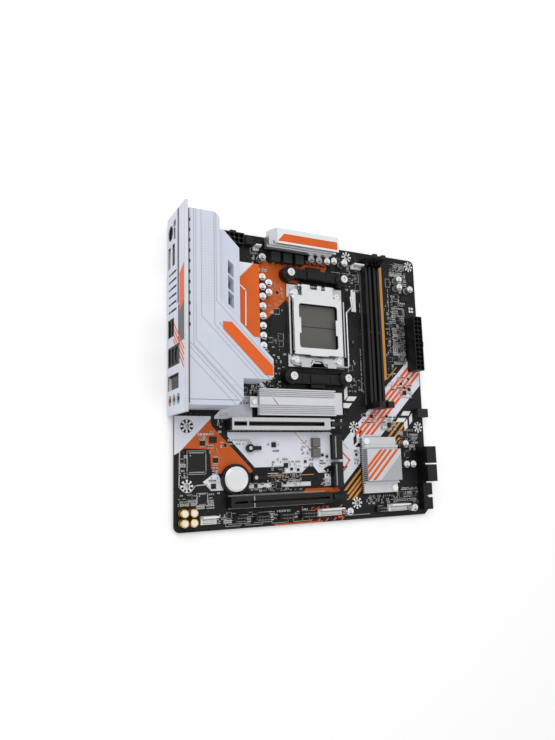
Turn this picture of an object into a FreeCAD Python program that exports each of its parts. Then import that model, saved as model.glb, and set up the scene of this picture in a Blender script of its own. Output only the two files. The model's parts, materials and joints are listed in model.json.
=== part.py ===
import FreeCAD, Part
import math
import os
import re

import Sketcher

# Micro-size desktop computer mainboard, lying flat with its component side up.
# Frame: origin on the axis of the datum mounting hole, in the plane of the board's underside.
# +X runs from the rear connector edge to the front edge, +Y from the expansion slots to the
# processor's power stage, +Z out of the component side.
# "Board places" below count X from the rear edge, Y from the slot edge and Z from the top of
# the bare board. Every sub-part is placed from them, less the datum hole's own place.

SIZES = {
    # bare board
    "board_width": 243.84, "board_depth": 243.84, "board_thick": 1.6,
    "corner_round": 5, "corner_cut": 4,
    "datum_x": 10.16, "datum_y": 80.01, "mount_hole_dia": 3.96,
    "hole_step_middle": 154.94, "hole_step_front": 227.33, "hole_step_top": 157.48,
    "hole_drop_rear": 45.72, "hole_drop_middle": 66.04, "hole_drop_corner": 22.86,
    # processor socket
    "cpu_x": 128.2, "cpu_y": 166.8, "socket_half_x": 23.2, "socket_half_y": 22,
    "seat_half": 20.3, "seat_floor": 2.6, "socket_high": 4.4, "frame_gap": 0.6,
    "frame_left": 28, "frame_right": 28.4, "frame_rear": 37.4, "frame_front": 35.6,
    "frame_lift": 0.3, "frame_thick": 1.4, "frame_wall": 1.3, "frame_wall_high": 5.6,
    "bar_deep": 7.8, "bar_high": 3.0, "hump_long": 9, "hump_high": 6.0,
    "torx_dx": 21.5, "torx_dy": 29.6, "torx_head_dia": 5.6, "torx_head_high": 1.7,
    "torx_dia": 3.0, "torx_drive_dia": 2.24, "screw_short": 0.2, "pad_dia": 9,
    "pad_high": 3.2, "fit_gap": 0.1,
    "plate_half_x": 24.3, "plate_front": 25.4, "plate_top": 7.6, "plate_thick": 1.2,
    "window_half_x": 19.4, "window_half_y": 19.5, "window_tab": 1.8, "window_tab_half": 7,
    "flange_drop": 3.0, "notch_deep": 10, "notch_wide": 8.6, "tongue_half": 9,
    "tongue_out": 0.8, "plate_back": 0.4, "hinge_half": 19, "tab_reach": 17,
    "tab_middle": 2, "frame_tab_half": 1.3,
    "hinge_y": 36.4, "hinge_up": 3.9, "hinge_dia": 1.6, "knuckle_dia": 3.8,
    "knuckle_long": 6, "knuckle_x": 11,
    "rod_dia": 1.8, "lever_y": 34.2, "lever_up": 4.2, "lever_x": 31.5, "lever_arm": 50.4,
    "crank_throw": 4.6, "crank_half": 7, "crank_flat_half": 3.9, "lever_tail": 22,
    "lever_bend": 1.7, "grip_out": 6.2, "grip_long": 15.4,
    # cooler fixing
    "cooler_shift": -1.2, "cooler_dx": 27, "cooler_dy": 45, "cooler_screw_dia": 3.5,
    "cooler_head_dia": 6.8, "cooler_head_high": 4.0, "boss_dia": 12.8, "boss_high": 8.2,
    "bracket_in": 3.4, "bracket_out": 5.6, "bracket_high": 6.6, "hook_half": 7,
    "hook_out": 3.4, "part_lift": 0.2, "cross_half": 1.9, "cross_thin": 0.45,
    "cross_deep": 1.4,
    "back_thick": 2.0, "back_margin": 7, "back_window": 15, "hole_ease": 0.5,
    # memory slots
    "memory_x": 183, "memory_pitch": 9.4, "memory_wide": 6.5, "memory_start": 95.8,
    "memory_long": 140.7, "memory_high": 8, "tower_long": 5.7, "tower_high": 20.5,
    "groove_wide": 1.6, "groove_floor": 2.2, "memory_key": 166, "key_wide": 1.6,
    "cheek_thick": 1.0, "cheek_long": 8.3, "cheek_high": 12, "latch_up": 3.4,
    "latch_in": 4.1, "latch_tall": 21, "latch_lip": 2.8,
    "pivot_dia": 2.0, "latch_side_gap": 0.2, "contact_half": 0.12, "contact_in": 0.15,
    # expansion slots
    "slot_x": 42.3, "slot_long": 91.6, "slot_y": 81.6, "slot_drop": 60.96,
    "slot_wide": 8.6, "slot_high": 10.7, "slot_groove": 1.8, "slot_floor": 2.6,
    "slot_end": 3.0, "slot_key": 14.0, "slot_key_wide": 1.8,
    "armour_wide": 10, "armour_high": 11.3, "armour_thick": 0.5, "armour_skirt": 2.0,
    "armour_mouth": 3.4, "prong_long": 4.4, "prong_in": 2.4, "prong_wide": 1.4,
    "prong_high": 2.2, "ear_long": 7.2, "ear_in": 2.2, "ear_thick": 1.3, "ear_high": 6.0,
    "slot_latch_in": 4.6, "slot_latch_up": 3.2, "slot_latch_high": 11,
    "slot_latch_reach": 11, "slot_latch_half": 1.9, "slot_latch_foot": 1.9,
    "slot_latch_pad": 1.6,
    # rear connector plate and cover
    "plate_x": 4.0, "io_thick": 0.8, "io_start": 87.6, "io_long": 158.2, "io_sink": 1.9,
    "io_high": 44.45, "io_lip": 1.6, "port_out": 0.5, "port_ease": 0.25,
    "cover_x": 1.8, "cover_top": 40, "cover_wall": 1.6, "cover_low": 1.0,
    "cover_start": 92.8, "cover_end": 241, "tall_x": 23.7, "tall_y": 172.9,
    "neck_x": 66.9, "neck_y": 129.2, "step_x": 41.4, "step_y": 113.3, "cover_cut": 5.2,
    "neck_cut": 2.5, "cover_round": 6, "badge_thick": 0.6, "arm_low": 12,
    # power stage
    "sink_gap": 0.4, "rear_sink_x": 42.6, "rear_sink_end": 230.6, "rear_sink_cut": 13,
    "rear_sink_top": 33, "rear_sink_low": 2.4, "vent_x": 32.9, "vent_wide": 4.6,
    "vent_start": 167.6, "vent_long": 10.6, "vent_pitch": 12.4, "vent_slant": 4.0,
    "vent_deep": 9, "ledge_x": 67.4, "ledge_end": 213, "ledge_top": 16, "ledge_low": 9,
    "top_sink_x": 75.5, "top_sink_end": 139.5, "top_sink_back": 1.0, "top_sink_deep": 13.2,
    "top_sink_top": 27, "top_sink_low": 9, "top_foot_low": 2.4, "top_slope": 4.0,
    "choke_side": 8.6, "choke_high": 7.6, "choke_pitch": 9.2, "fet_side": 5, "fet_high": 1.2,
    "choke_in": 14, "choke_first": 7, "fet_in": 8, "top_pitch": 11.6, "top_choke_first": 12.5,
    "top_choke_back": 18.3, "top_fet_first": 11, "top_fet_back": 5, "pad_half": 4,
    # capacitors
    "can_dia": 6.3, "can_foot_dia": 6.6, "can_foot": 1.0, "can_high": 8.6, "can_x": 74.1,
    "can_start": 146.5, "can_pitch": 8.4,
    # chipset
    "chip_x": 73.8, "chip_wide": 36.5, "chip_start": 21.8, "chip_long": 49,
    "chip_low": 2.0, "chip_base": 5.0, "chip_step": 8.0, "chip_top": 12, "chip_die": 20,
    "pin_head_dia": 5.8, "pin_head_high": 1.6, "pin_dia": 3.0, "pin_foot_dia": 5,
    "pin_foot_high": 1.8, "chip_pin_x": 3.9, "chip_pin_y": 3.7,
    # storage
    "drive_x": 68.3, "drive_long": 72.8, "drive_start": 88.6, "drive_wide": 22,
    "drive_top": 10, "drive_low": 5.2, "drive_pad": 1.0, "fin_pitch": 1.6, "fin_gap": 0.8,
    "fin_deep": 2.2, "tab_long": 6.8, "tab_thick": 1.2, "tab_half": 4.5, "clip_long": 8.7,
    "drive_screw_dia": 2.0, "drive_head_dia": 4.4, "drive_head_high": 1.6,
    "standoff_dia": 4.6, "standoff_high": 5.0, "m2_wide": 22, "m2_deep": 8.6,
    "m2_high": 4.2, "m2_tall": 6.4, "m2_mouth": 1.6, "m2_mouth_up": 1.6,
    "m2_x": 139.5, "m2_upper_y": 62.5, "m2_lower_y": 39,
    "hold_x": 62.5, "hold_lower_x": 66.9, "hold_post_dia": 3.0, "hold_post_high": 4.2,
    "hold_knob_dia": 6.6, "hold_low": 1.0, "hold_high": 4.0, "hold_tail": 10,
    "hold_tail_wide": 3.2, "hold_gap": 0.1,
    # battery
    "cell_x": 49.4, "cell_clear": 1.36, "cell_dia": 20, "cell_thick": 3.2, "cell_low": 1.8,
    "holder_gap": 0.3, "holder_wall": 1.7, "holder_high": 4.4, "holder_floor": 1.2,
    # power connectors
    "cell_pitch": 4.2, "cavity_side": 3.5, "power_high": 13, "power_floor": 2.0,
    "power_margin": 0.6, "main_power_x": 14.3, "main_power_y": 132.5, "cpu_power_x": 38,
    "cpu_power_y": 14.2, "power_lock": 2.2, "power_pin": 1.0, "power_pin_high": 9,
    # front and lower edge connectors
    "sata_x": 10.3, "sata_y": 30, "sata_wide": 15.2, "sata_pitch": 16.5, "sata_high": 15,
    "sata_out": 0.6, "sata_mouth": 11.6, "sata_mouth_high": 4.2, "sata_deep": 6,
    "sata_row": 6.8, "sata_tongue": 1.2, "sata_first": 1.9, "sata_tongue_up": 0.8,
    "usb3_x": 9.8, "usb3_y": 4.7, "usb3_long": 23.7, "usb3_high": 7, "usb3_wall": 1.3,
    "usb3_deep": 6.5, "usb3_out": 0.4, "usb3_pitch": 2, "usb3_pin": 0.5,
    "type_c_x": 10.8, "type_c_y": 89, "type_c_wide": 8, "type_c_high": 7,
    "type_c_wall": 0.9, "type_c_out": 1.2, "header_y": 7.3, "pin_pitch": 2.54,
    "header_foot": 2.5, "header_pin": 0.64, "header_pin_high": 8.4,
    # rear ports
    "port_deep": 13, "shell": 0.6, "usb_mouth_wide": 12.4,
    "usb_mouth_high": 5.2, "usb_tongue": 1.8, "usb_pitch": 8.2, "usb_first": 1.2,
    "usb_wide": 14, "usb_high": 15.4, "usb_y": 147.4, "lan_y": 124.3, "lan_wide": 15,
    "lan_high": 29.6, "lan_low": 17.6, "lan_mouth_high": 8.6, "lan_mouth_wide": 11.8,
    "lan_deep": 11, "video_y": 203, "video_wide": 17, "video_low": 0.8, "video_high": 5.8,
    "video_second": 11.6, "port_c_y": 223.6, "port_c_wide": 9.2, "port_c_low": 15.2,
    "port_c_high": 3.6, "keyboard_y": 231.2, "keyboard_up": 7.0, "keyboard_dia": 12,
    "keyboard_side": 13.2, "antenna_y": 112, "antenna_wide": 11, "antenna_high": 26.6,
    "antenna_deep": 7, "antenna_wall": 1.2, "antenna_pin_dia": 2.4, "antenna_pin_long": 2.5,
    "house_back": 0.4, "plate_vent_first": 5, "plate_vent_pitch": 6, "plate_vent_wide": 1.8,
    "plate_vent_low": 2, "plate_vent_high": 22, "audio_y": 98.6,
    "audio_wide": 8, "audio_first": 5.6, "audio_pitch": 10.3, "audio_dia": 7.6,
    "audio_bore_dia": 3.6, "audio_high": 31, "button_y": 236.4, "button_up": 17.4,
    "switch_x": 1.2, "switch_leg": 2, "switch_half": 3, "button_side": 4.2,
    "button_out": 0.4, "button_long": 3.4, "button_ease": 0.3,
}

document = FreeCAD.newDocument("mainboard")
sheet = document.addObject("Spreadsheet::Sheet", "Sizes")
for row, (alias, value) in enumerate(SIZES.items(), start=1):
    sheet.set(f"A{row}", str(value))
    sheet.setAlias(f"A{row}", alias)
document.recompute()

NODES = []
WORD = re.compile(r"[a-z][a-z0-9_]*")
UP = FreeCAD.Vector(0, 0, 1)
REAR = "0 - plate_x"
CELL_Y = ("slot_y - slot_drop + slot_wide / 2 + cell_clear + holder_wall + holder_gap"
          " + cell_dia / 2")


def bound(text):
    """Return an expression with each size name pointed at the sheet."""
    return WORD.sub(lambda word: f"Sizes.{word.group(0)}", text)


def number(text):
    """Work out an expression of size names as a plain number."""
    return float(sheet.evalExpression(bound(text)))


def place(item, x, y, z, turn=None):
    """Bind an object's place, given in board places, to the sheet."""
    item.setExpression("Placement.Base.x", bound(f"({x}) - datum_x"))
    item.setExpression("Placement.Base.y", bound(f"({y}) - datum_y"))
    item.setExpression("Placement.Base.z", bound(f"({z}) + board_thick"))
    if turn is not None:
        axis, angle = turn
        item.Placement.Rotation = FreeCAD.Rotation(axis, angle)


def block(name, x, y, z):
    """Make a box from its low and high board places along X, Y and Z."""
    item = document.addObject("Part::Box", name)
    for side, (low, high) in zip(("Length", "Width", "Height"), (x, y, z)):
        item.setExpression(side, bound(f"({high}) - ({low})"))
    place(item, x[0], y[0], z[0])
    return item


def disc(name, x, y, dia, z):
    """Make an upright cylinder from its centre, diameter and Z span."""
    item = document.addObject("Part::Cylinder", name)
    item.setExpression("Radius", bound(f"({dia}) / 2"))
    item.setExpression("Height", bound(f"({z[1]}) - ({z[0]})"))
    place(item, x, y, z[0])
    return item


def axle(name, x, y, z, dia, along="X"):
    """Make a lying cylinder: its long side is the pair among x, y; the rest are centres."""
    item = document.addObject("Part::Cylinder", name)
    item.setExpression("Radius", bound(f"({dia}) / 2"))
    low, high = x if along == "X" else y
    item.setExpression("Height", bound(f"({high}) - ({low})"))
    if along == "X":
        place(item, low, y, z, (FreeCAD.Vector(0, 1, 0), 90))
    else:
        place(item, x, low, z, (FreeCAD.Vector(1, 0, 0), -90))
    return item


def join(name, parts):
    """Fuse touching pieces into one solid."""
    item = document.addObject("Part::MultiFuse", name)
    item.Shapes = parts
    return item


def group(name, parts):
    """Keep separate solids together in one node."""
    item = document.addObject("Part::Compound", name)
    item.Links = parts
    return item


def carve(name, base, tools):
    """Cut one or more tools out of a piece."""
    item = document.addObject("Part::Cut", name)
    item.Base = base
    item.Tool = tools[0] if len(tools) == 1 else join(f"{name}_tools", tools)
    return item


def shared(name, first, second):
    """Keep what two pieces have in common."""
    item = document.addObject("Part::Common", name)
    item.Base = first
    item.Tool = second
    return item


def node(label, item):
    """Name a finished sub-part and put it on the list to be written."""
    item.Label = label
    NODES.append(item)
    return item


# ---------------------------------------------------------------- sketched bodies

PLANES = {"XY": ("XY_Plane", 0, 1), "YZ": ("YZ_Plane", 1, 2), "XZ": ("XZ_Plane", 0, 2)}


def new_body(name, x="0", y="0", z="0"):
    """Start a body whose own origin stands at a board place."""
    body = document.addObject("PartDesign::Body", name)
    place(body, x, y, z)
    return body


def outline(body, plane, name, points, circles=()):
    """Draw a closed outline, and any circles, with each point bound to the sheet."""
    role = PLANES[plane][0]
    sketch = body.newObject("Sketcher::SketchObject", name)
    support = [item for item in body.Origin.OriginFeatures if item.Role == role][0]
    sketch.AttachmentSupport = [(support, "")]
    sketch.MapMode = "FlatFace"
    places = [FreeCAD.Vector(number(x), number(y), 0) for x, y in points]
    for start, end in zip(places, places[1:] + places[:1]):
        sketch.addGeometry(Part.LineSegment(start, end))
    for index in range(len(points)):
        follow = (index + 1) % len(points)
        sketch.addConstraint(Sketcher.Constraint("Coincident", index, 2, follow, 1))
    for index, (x, y) in enumerate(points):
        pin_point(sketch, index, 1, x, y)
    for x, y, dia in circles:
        centre = FreeCAD.Vector(number(x), number(y), 0)
        index = sketch.addGeometry(Part.Circle(centre, UP, number(dia) / 2))
        size = sketch.addConstraint(Sketcher.Constraint("Diameter", index, number(dia)))
        sketch.setExpression(f"Constraints[{size}]", bound(dia))
        pin_point(sketch, index, 3, x, y)
    return sketch


def pin_point(sketch, index, end, x, y):
    """Hold one point of a sketch at a place bound to the sheet."""
    for kind, text in (("DistanceX", x), ("DistanceY", y)):
        rule = Sketcher.Constraint(kind, -1, 1, index, end, number(text))
        held = sketch.addConstraint(rule)
        sketch.setExpression(f"Constraints[{held}]", bound(text))


def pad(body, sketch, name, length, reverse=False):
    """Raise a sketch into a solid."""
    feature = body.newObject("PartDesign::Pad", name)
    feature.Profile = sketch
    feature.setExpression("Length", bound(length))
    feature.Reversed = reverse
    return feature


def pocket(body, sketch, name):
    """Cut a sketch through the whole solid, both ways."""
    before = body.Shape.Volume
    feature = body.newObject("PartDesign::Pocket", name)
    feature.Profile = sketch
    feature.Type = 1
    feature.Midplane = True
    document.recompute()
    if body.Shape.Volume >= before:
        raise ValueError(f"{name} cuts nothing")
    return feature


def round_edges(body, name, radius, spots, plane="XY"):
    """Round the edges of a pad that run along its own direction at the given spots."""
    document.recompute()
    first, second = PLANES[plane][1:]
    tip = body.Tip
    found = []
    for spot in spots:
        goal = [number(text) for text in spot]
        for index, edge in enumerate(tip.Shape.Edges, start=1):
            ends = [vertex.Point for vertex in edge.Vertexes]
            here = all(
                abs(end[first] - goal[0]) < 0.01 and abs(end[second] - goal[1]) < 0.01
                for end in ends
            )
            if len(ends) == 2 and here:
                found.append(f"Edge{index}")
    feature = body.newObject("PartDesign::Fillet", name)
    feature.Base = (tip, found)
    feature.setExpression("Radius", bound(radius))
    return feature


def prism(name, plane, points, span, rounds=(), radius=None):
    """Make a body from one outline in board places, spanning low to high along the rest axis."""
    low, high = span
    offset = {"XY": ("0", "0", low), "YZ": (low, "0", "0"), "XZ": ("0", high, "0")}[plane]
    body = new_body(name, *offset)
    sketch = outline(body, plane, f"{name}_outline", points)
    pad(body, sketch, f"{name}_pad", f"({high}) - ({low})")
    if rounds:
        round_edges(body, f"{name}_round", radius, rounds, plane)
    return body


def rectangle(x, y):
    """List the corners of a rectangle from its two spans."""
    return [(x[0], y[0]), (x[1], y[0]), (x[1], y[1]), (x[0], y[1])]


def around(centre, half):
    """Return the span that reaches half each way from a centre."""
    return (f"{centre} - ({half})", f"{centre} + ({half})")


# ---------------------------------------------------------------- bare board

def cooler_places():
    """List the four cooler screw places."""
    return [
        (f"cpu_x + cooler_shift {sx} cooler_dx", f"cpu_y {sy} cooler_dy")
        for sx in "-+" for sy in "-+"
    ]


def torx_places():
    """List the four socket screw places."""
    return [(f"cpu_x {sx} torx_dx", f"cpu_y {sy} torx_dy") for sx in "-+" for sy in "-+"]


def chip_pin_places():
    """List the two push pins of the chipset's heatsink, at opposite corners."""
    return [
        ("board_width - chip_x + chip_wide - chip_pin_x", "chip_start + chip_pin_y"),
        ("board_width - chip_x + chip_pin_x", "chip_start + chip_long - chip_pin_y"),
    ]


def mounting_holes():
    """List the board's mounting holes."""
    middle, front = "datum_x + hole_step_middle", "datum_x + hole_step_front"
    top = "datum_y + hole_step_top"
    return [
        ("datum_x", "datum_y"), (middle, "datum_y"), (front, "datum_y"),
        ("datum_x", "datum_y - hole_drop_rear"), (middle, "datum_y - hole_drop_middle"),
        ("datum_x", f"{top} - hole_drop_corner"), (middle, top), (front, top),
    ]


def make_board():
    body = new_body("board_body", "0", "0", "0 - board_thick")
    corners = [
        ("0", "0"), ("board_width - corner_cut", "0"), ("board_width", "corner_cut"),
        ("board_width", "board_depth"), ("0", "board_depth"),
    ]
    sketch = outline(body, "XY", "board_outline", corners)
    pad(body, sketch, "board_pad", "board_thick")
    round_edges(body, "board_round", "corner_round", [corners[0], corners[3], corners[4]])
    document.recompute()
    holes = [(x, y, "mount_hole_dia") for x, y in mounting_holes()]
    holes += [(x, y, "cooler_screw_dia + hole_ease") for x, y in cooler_places()]
    holes += [(x, y, "torx_dia + hole_ease") for x, y in torx_places()]
    holes += [(x, y, "pin_dia + hole_ease") for x, y in chip_pin_places()]
    drilled = outline(body, "XY", "board_holes", [], holes)
    pocket(body, drilled, "board_drilling")
    node("pcb", body)


def make_backplate():
    centre_x = "cpu_x + cooler_shift"
    reach_x, reach_y = "(cooler_dx + back_margin)", "(cooler_dy + back_margin)"
    cut = "back_margin"
    left, right = f"{centre_x} - {reach_x}", f"{centre_x} + {reach_x}"
    low, high = f"cpu_y - {reach_y}", f"cpu_y + {reach_y}"
    points = [
        (f"{left} + {cut}", low), (f"{right} - {cut}", low), (right, f"{low} + {cut}"),
        (right, f"{high} - {cut}"), (f"{right} - {cut}", high), (f"{left} + {cut}", high),
        (left, f"{high} - {cut}"), (left, f"{low} + {cut}"),
    ]
    body = new_body("back_body", "0", "0", "0 - board_thick - back_thick")
    pad(body, outline(body, "XY", "back_outline", points), "back_pad", "back_thick")
    document.recompute()
    holes = [(x, y, "cooler_screw_dia + fit_gap") for x, y in cooler_places()]
    holes += [(x, y, "torx_dia + fit_gap") for x, y in torx_places()]
    window = rectangle(around("cpu_x", "back_window"), around("cpu_y", "back_window"))
    pocket(body, outline(body, "XY", "back_holes", window, holes), "back_window")
    node("cpu_backplate", body)


# ---------------------------------------------------------------- processor socket

def make_socket():
    base = block(
        "socket_base", around("cpu_x", "socket_half_x"), around("cpu_y", "socket_half_y"),
        ("0", "socket_high"))
    seat = block(
        "socket_seat", around("cpu_x", "seat_half"), around("cpu_y", "seat_half"),
        ("seat_floor", "socket_high + 1"))
    node("cpu_socket_body", carve("socket_cut", base, [seat]))


def make_frame():
    floor = ("frame_lift", "frame_lift + frame_thick")
    left, right = "cpu_x - frame_left", "cpu_x + frame_right"
    front, rear = "cpu_y - frame_front", "cpu_y + frame_rear"
    sheet_metal = block("frame_sheet", (left, right), (front, rear), floor)
    middle = block(
        "frame_middle", around("cpu_x", "socket_half_x + frame_gap"),
        around("cpu_y", "socket_half_y + frame_gap"), ("0", "frame_wall_high"))
    ring = carve("frame_ring", sheet_metal, [middle])
    wall_y = around("cpu_y", "plate_front")
    wall_z = ("frame_lift", "frame_wall_high")
    parts = [
        ring,
        block("frame_wall_left", (left, f"{left} + frame_wall"), wall_y, wall_z),
        block("frame_wall_right", (f"{right} - frame_wall", right), wall_y, wall_z),
        block("frame_bar", around("cpu_x", "torx_dx - torx_head_dia / 2 - 1"),
              (front, f"{front} + bar_deep"), (floor[0], "bar_high")),
    ]
    for side, sign in (("left", "-"), ("right", "+")):
        centre = f"cpu_x {sign} (crank_half + 1.5 + hump_long / 2)"
        parts.append(block(
            f"frame_hump_{side}", around(centre, "hump_long / 2"),
            around("cpu_y - lever_y", "2"), (floor[0], "hump_high")))
    for index, (x, y) in enumerate(torx_places()):
        parts.append(disc(f"frame_pad_{index}", x, y, "pad_dia", (floor[0], "pad_high")))
    hinge = ("cpu_y + hinge_y", "hinge_up")
    tabs = ("cpu_x - tab_reach", "cpu_x + tab_middle", "cpu_x + tab_reach")
    for index, x in enumerate(tabs):
        parts.append(block(
            f"frame_tab_{index}", around(x, "frame_tab_half"), around(hinge[0], "1"),
            (floor[0], f"{hinge[1]} + 1.2")))
    parts.append(axle("frame_hinge_rod", around("cpu_x", "hinge_half"), *hinge, "hinge_dia"))
    lever_way = axle("frame_lever_way", (f"{left} + 2", right), "cpu_y - lever_y", "lever_up",
                     "rod_dia + fit_gap * 2")
    ways = [lever_way] + [
        disc(f"frame_screw_way_{index}", x, y, "torx_dia + fit_gap", ("0", "frame_wall_high"))
        for index, (x, y) in enumerate(torx_places())]
    node("cpu_socket_frame", carve("frame_cut", join("frame_parts", parts), ways))


def make_load_plate():
    x = around("cpu_x", "plate_half_x")
    front, rear = "cpu_y - plate_front", "cpu_y + hinge_y + plate_back"
    z = ("plate_top - plate_thick", "plate_top")
    plate = prism("load_sheet", "XY", rectangle(x, (front, rear)), z)
    wall = "plate_thick"
    notch_y = (f"{rear} - notch_deep", f"{rear} + 1")
    tools = [
        block("load_notch_left", (f"{x[0]} - 1", f"{x[0]} + notch_wide"), notch_y, ("0", "9")),
        block("load_notch_right", (f"{x[1]} - notch_wide", f"{x[1]} + 1"), notch_y, ("0", "9")),
    ]
    tools += [
        block(f"load_gap_{label}", span, (f"{rear} - 4", f"{rear} + 1"), ("0", "9"))
        for label, span in (
            ("left", ("cpu_x - 7.6", "cpu_x - 0.4")), ("right", ("cpu_x + 3.8", "cpu_x + 7.6")))]
    middle = around("cpu_x", "window_half_x")
    window = block("load_window", middle, around("cpu_y", "window_half_y"), ("0", "9"))
    tab_y = around("cpu_y", "window_tab_half")
    tabs = [
        block("load_tab_left", (middle[0], f"{middle[0]} + window_tab"), tab_y, z),
        block("load_tab_right", (f"{middle[1]} - window_tab", middle[1]), tab_y, z)]
    flange_y = (f"{front} + 3", f"{rear} - notch_deep")
    flange_z = ("plate_top - flange_drop", z[0])
    flanges = [
        block("load_flange_left", (x[0], f"{x[0]} + {wall}"), flange_y, flange_z),
        block("load_flange_right", (f"{x[1]} - {wall}", x[1]), flange_y, flange_z)]
    tongue = block("load_tongue", around("cpu_x", "tongue_half"),
                   (f"{front} - tongue_out", front), z)
    knuckles = []
    for side, sign in (("left", "-"), ("right", "+")):
        span = around(f"cpu_x {sign} knuckle_x", "knuckle_long / 2")
        knuckles.append(axle(f"load_knuckle_{side}", span, "cpu_y + hinge_y", "hinge_up",
                             "knuckle_dia"))
        knuckles.append(block(f"load_neck_{side}", span,
                              ("cpu_y + hinge_y - knuckle_dia / 2", rear),
                              ("hinge_up", z[1])))
    solid = join("load_parts", [carve("load_frame", plate, tools + [window])]
                 + tabs + flanges + [tongue] + knuckles)
    eye = axle("load_eye", around("cpu_x", "hinge_half"), "cpu_y + hinge_y", "hinge_up",
               "hinge_dia + fit_gap * 2")
    node("socket_load_plate", carve("load_cut", solid, [eye]))


def bent_rod(points, radius, bend):
    """Sweep a round bar along straight runs joined by tangent arcs."""
    edges = []
    start = points[0]
    for corner, after in zip(points[1:-1], points[2:]):
        back = (start - corner).normalize()
        ahead = (after - corner).normalize()
        half = back.getAngle(ahead) / 2
        reach = bend / math.tan(half)
        entry, leave = corner + back * reach, corner + ahead * reach
        bisector = (back + ahead).normalize()
        centre = corner + bisector * (bend / math.sin(half))
        edges.append(Part.makeLine(start, entry))
        edges.append(Part.Arc(entry, centre - bisector * bend, leave).toShape())
        start = leave
    edges.append(Part.makeLine(start, points[-1]))
    path = Part.Wire(edges)
    along = (points[1] - points[0]).normalize()
    ring = Part.Wire(Part.makeCircle(radius, points[0], along))
    return path.makePipeShell([ring], True, False)


def make_lever():
    line, up = "cpu_y - lever_y", "lever_up"
    arm = "cpu_x + lever_x"
    route = [
        ("cpu_x - lever_tail", line), ("cpu_x - crank_half", line),
        ("cpu_x - crank_flat_half", f"{line} + crank_throw"),
        ("cpu_x + crank_flat_half", f"{line} + crank_throw"),
        ("cpu_x + crank_half", line), (arm, line), (arm, f"{line} + lever_arm"),
        (f"{arm} + grip_out", f"{line} + lever_arm + grip_out"),
        (f"{arm} + grip_out * 0.8", f"{line} + lever_arm + grip_long"),
    ]
    points = [
        FreeCAD.Vector(number(f"{x} - datum_x"), number(f"{y} - datum_y"),
                       number(f"{up} + board_thick")) for x, y in route]
    item = document.addObject("Part::Feature", "lever_rod")
    item.Shape = bent_rod(points, number("rod_dia / 2"), number("lever_bend"))
    node("socket_lever", item)


def make_socket_screws():
    parts = []
    for index, (x, y) in enumerate(torx_places()):
        head = disc(f"torx_head_{index}", x, y, "torx_head_dia",
                    ("pad_high", "pad_high + torx_head_high"))
        shank = disc(f"torx_shank_{index}", x, y, "torx_dia",
                     ("screw_short - board_thick - back_thick", "pad_high"))
        drive = disc(f"torx_drive_{index}", x, y, "torx_drive_dia",
                     ("pad_high + 0.6", "pad_high + torx_head_high + 1"))
        parts.append(carve(f"torx_{index}", join(f"torx_body_{index}", [head, shank]), [drive]))
    node("socket_screws", group("torx_all", parts))


def make_cooler_brackets():
    shift = "cpu_x + cooler_shift"
    span = around(shift, "cooler_dx")
    z = ("part_lift", "bracket_high")
    for label, sign, back in (("top", "+", "-"), ("bottom", "-", "+")):
        line = f"cpu_y {sign} cooler_dy"
        near, far = f"{line} {back} bracket_in", f"{line} {sign} bracket_out"
        y = (near, far) if sign == "+" else (far, near)
        parts = [block(f"bracket_bar_{label}", span, y, z)]
        hook_far = f"{far} {sign} hook_out"
        hook_y = (far, hook_far) if sign == "+" else (hook_far, far)
        parts.append(block(f"bracket_hook_{label}", around(shift, "hook_half"), hook_y,
                           (z[0], "bracket_high - 2")))
        ways = []
        for side, x in (("left", span[0]), ("right", span[1])):
            parts.append(disc(f"bracket_boss_{label}_{side}", x, line, "boss_dia",
                              (z[0], "boss_high")))
            ways.append(disc(f"bracket_way_{label}_{side}", x, line,
                             "cooler_screw_dia + hole_ease", ("0", "boss_high + 1")))
        solid = join(f"bracket_parts_{label}", parts)
        node(f"cooler_bracket_{label}", carve(f"bracket_cut_{label}", solid, ways))


def make_cooler_screws():
    parts = []
    for index, (x, y) in enumerate(cooler_places()):
        head = disc(f"cooler_head_{index}", x, y, "cooler_head_dia",
                    ("boss_high", "boss_high + cooler_head_high"))
        shank = disc(f"cooler_shank_{index}", x, y, "cooler_screw_dia",
                     ("screw_short - board_thick - back_thick", "boss_high"))
        top = "boss_high + cooler_head_high"
        cross = [
            block(f"cooler_cross_{index}_{label}", around(x, across), around(y, deep),
                  (f"{top} - cross_deep", f"{top} + 1"))
            for label, across, deep in (("x", "cross_half", "cross_thin"),
                                        ("y", "cross_thin", "cross_half"))]
        parts.append(carve(f"cooler_{index}", join(f"cooler_body_{index}", [head, shank]), cross))
    node("cooler_bracket_screws", group("cooler_all", parts))


# ---------------------------------------------------------------- memory slots

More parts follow.
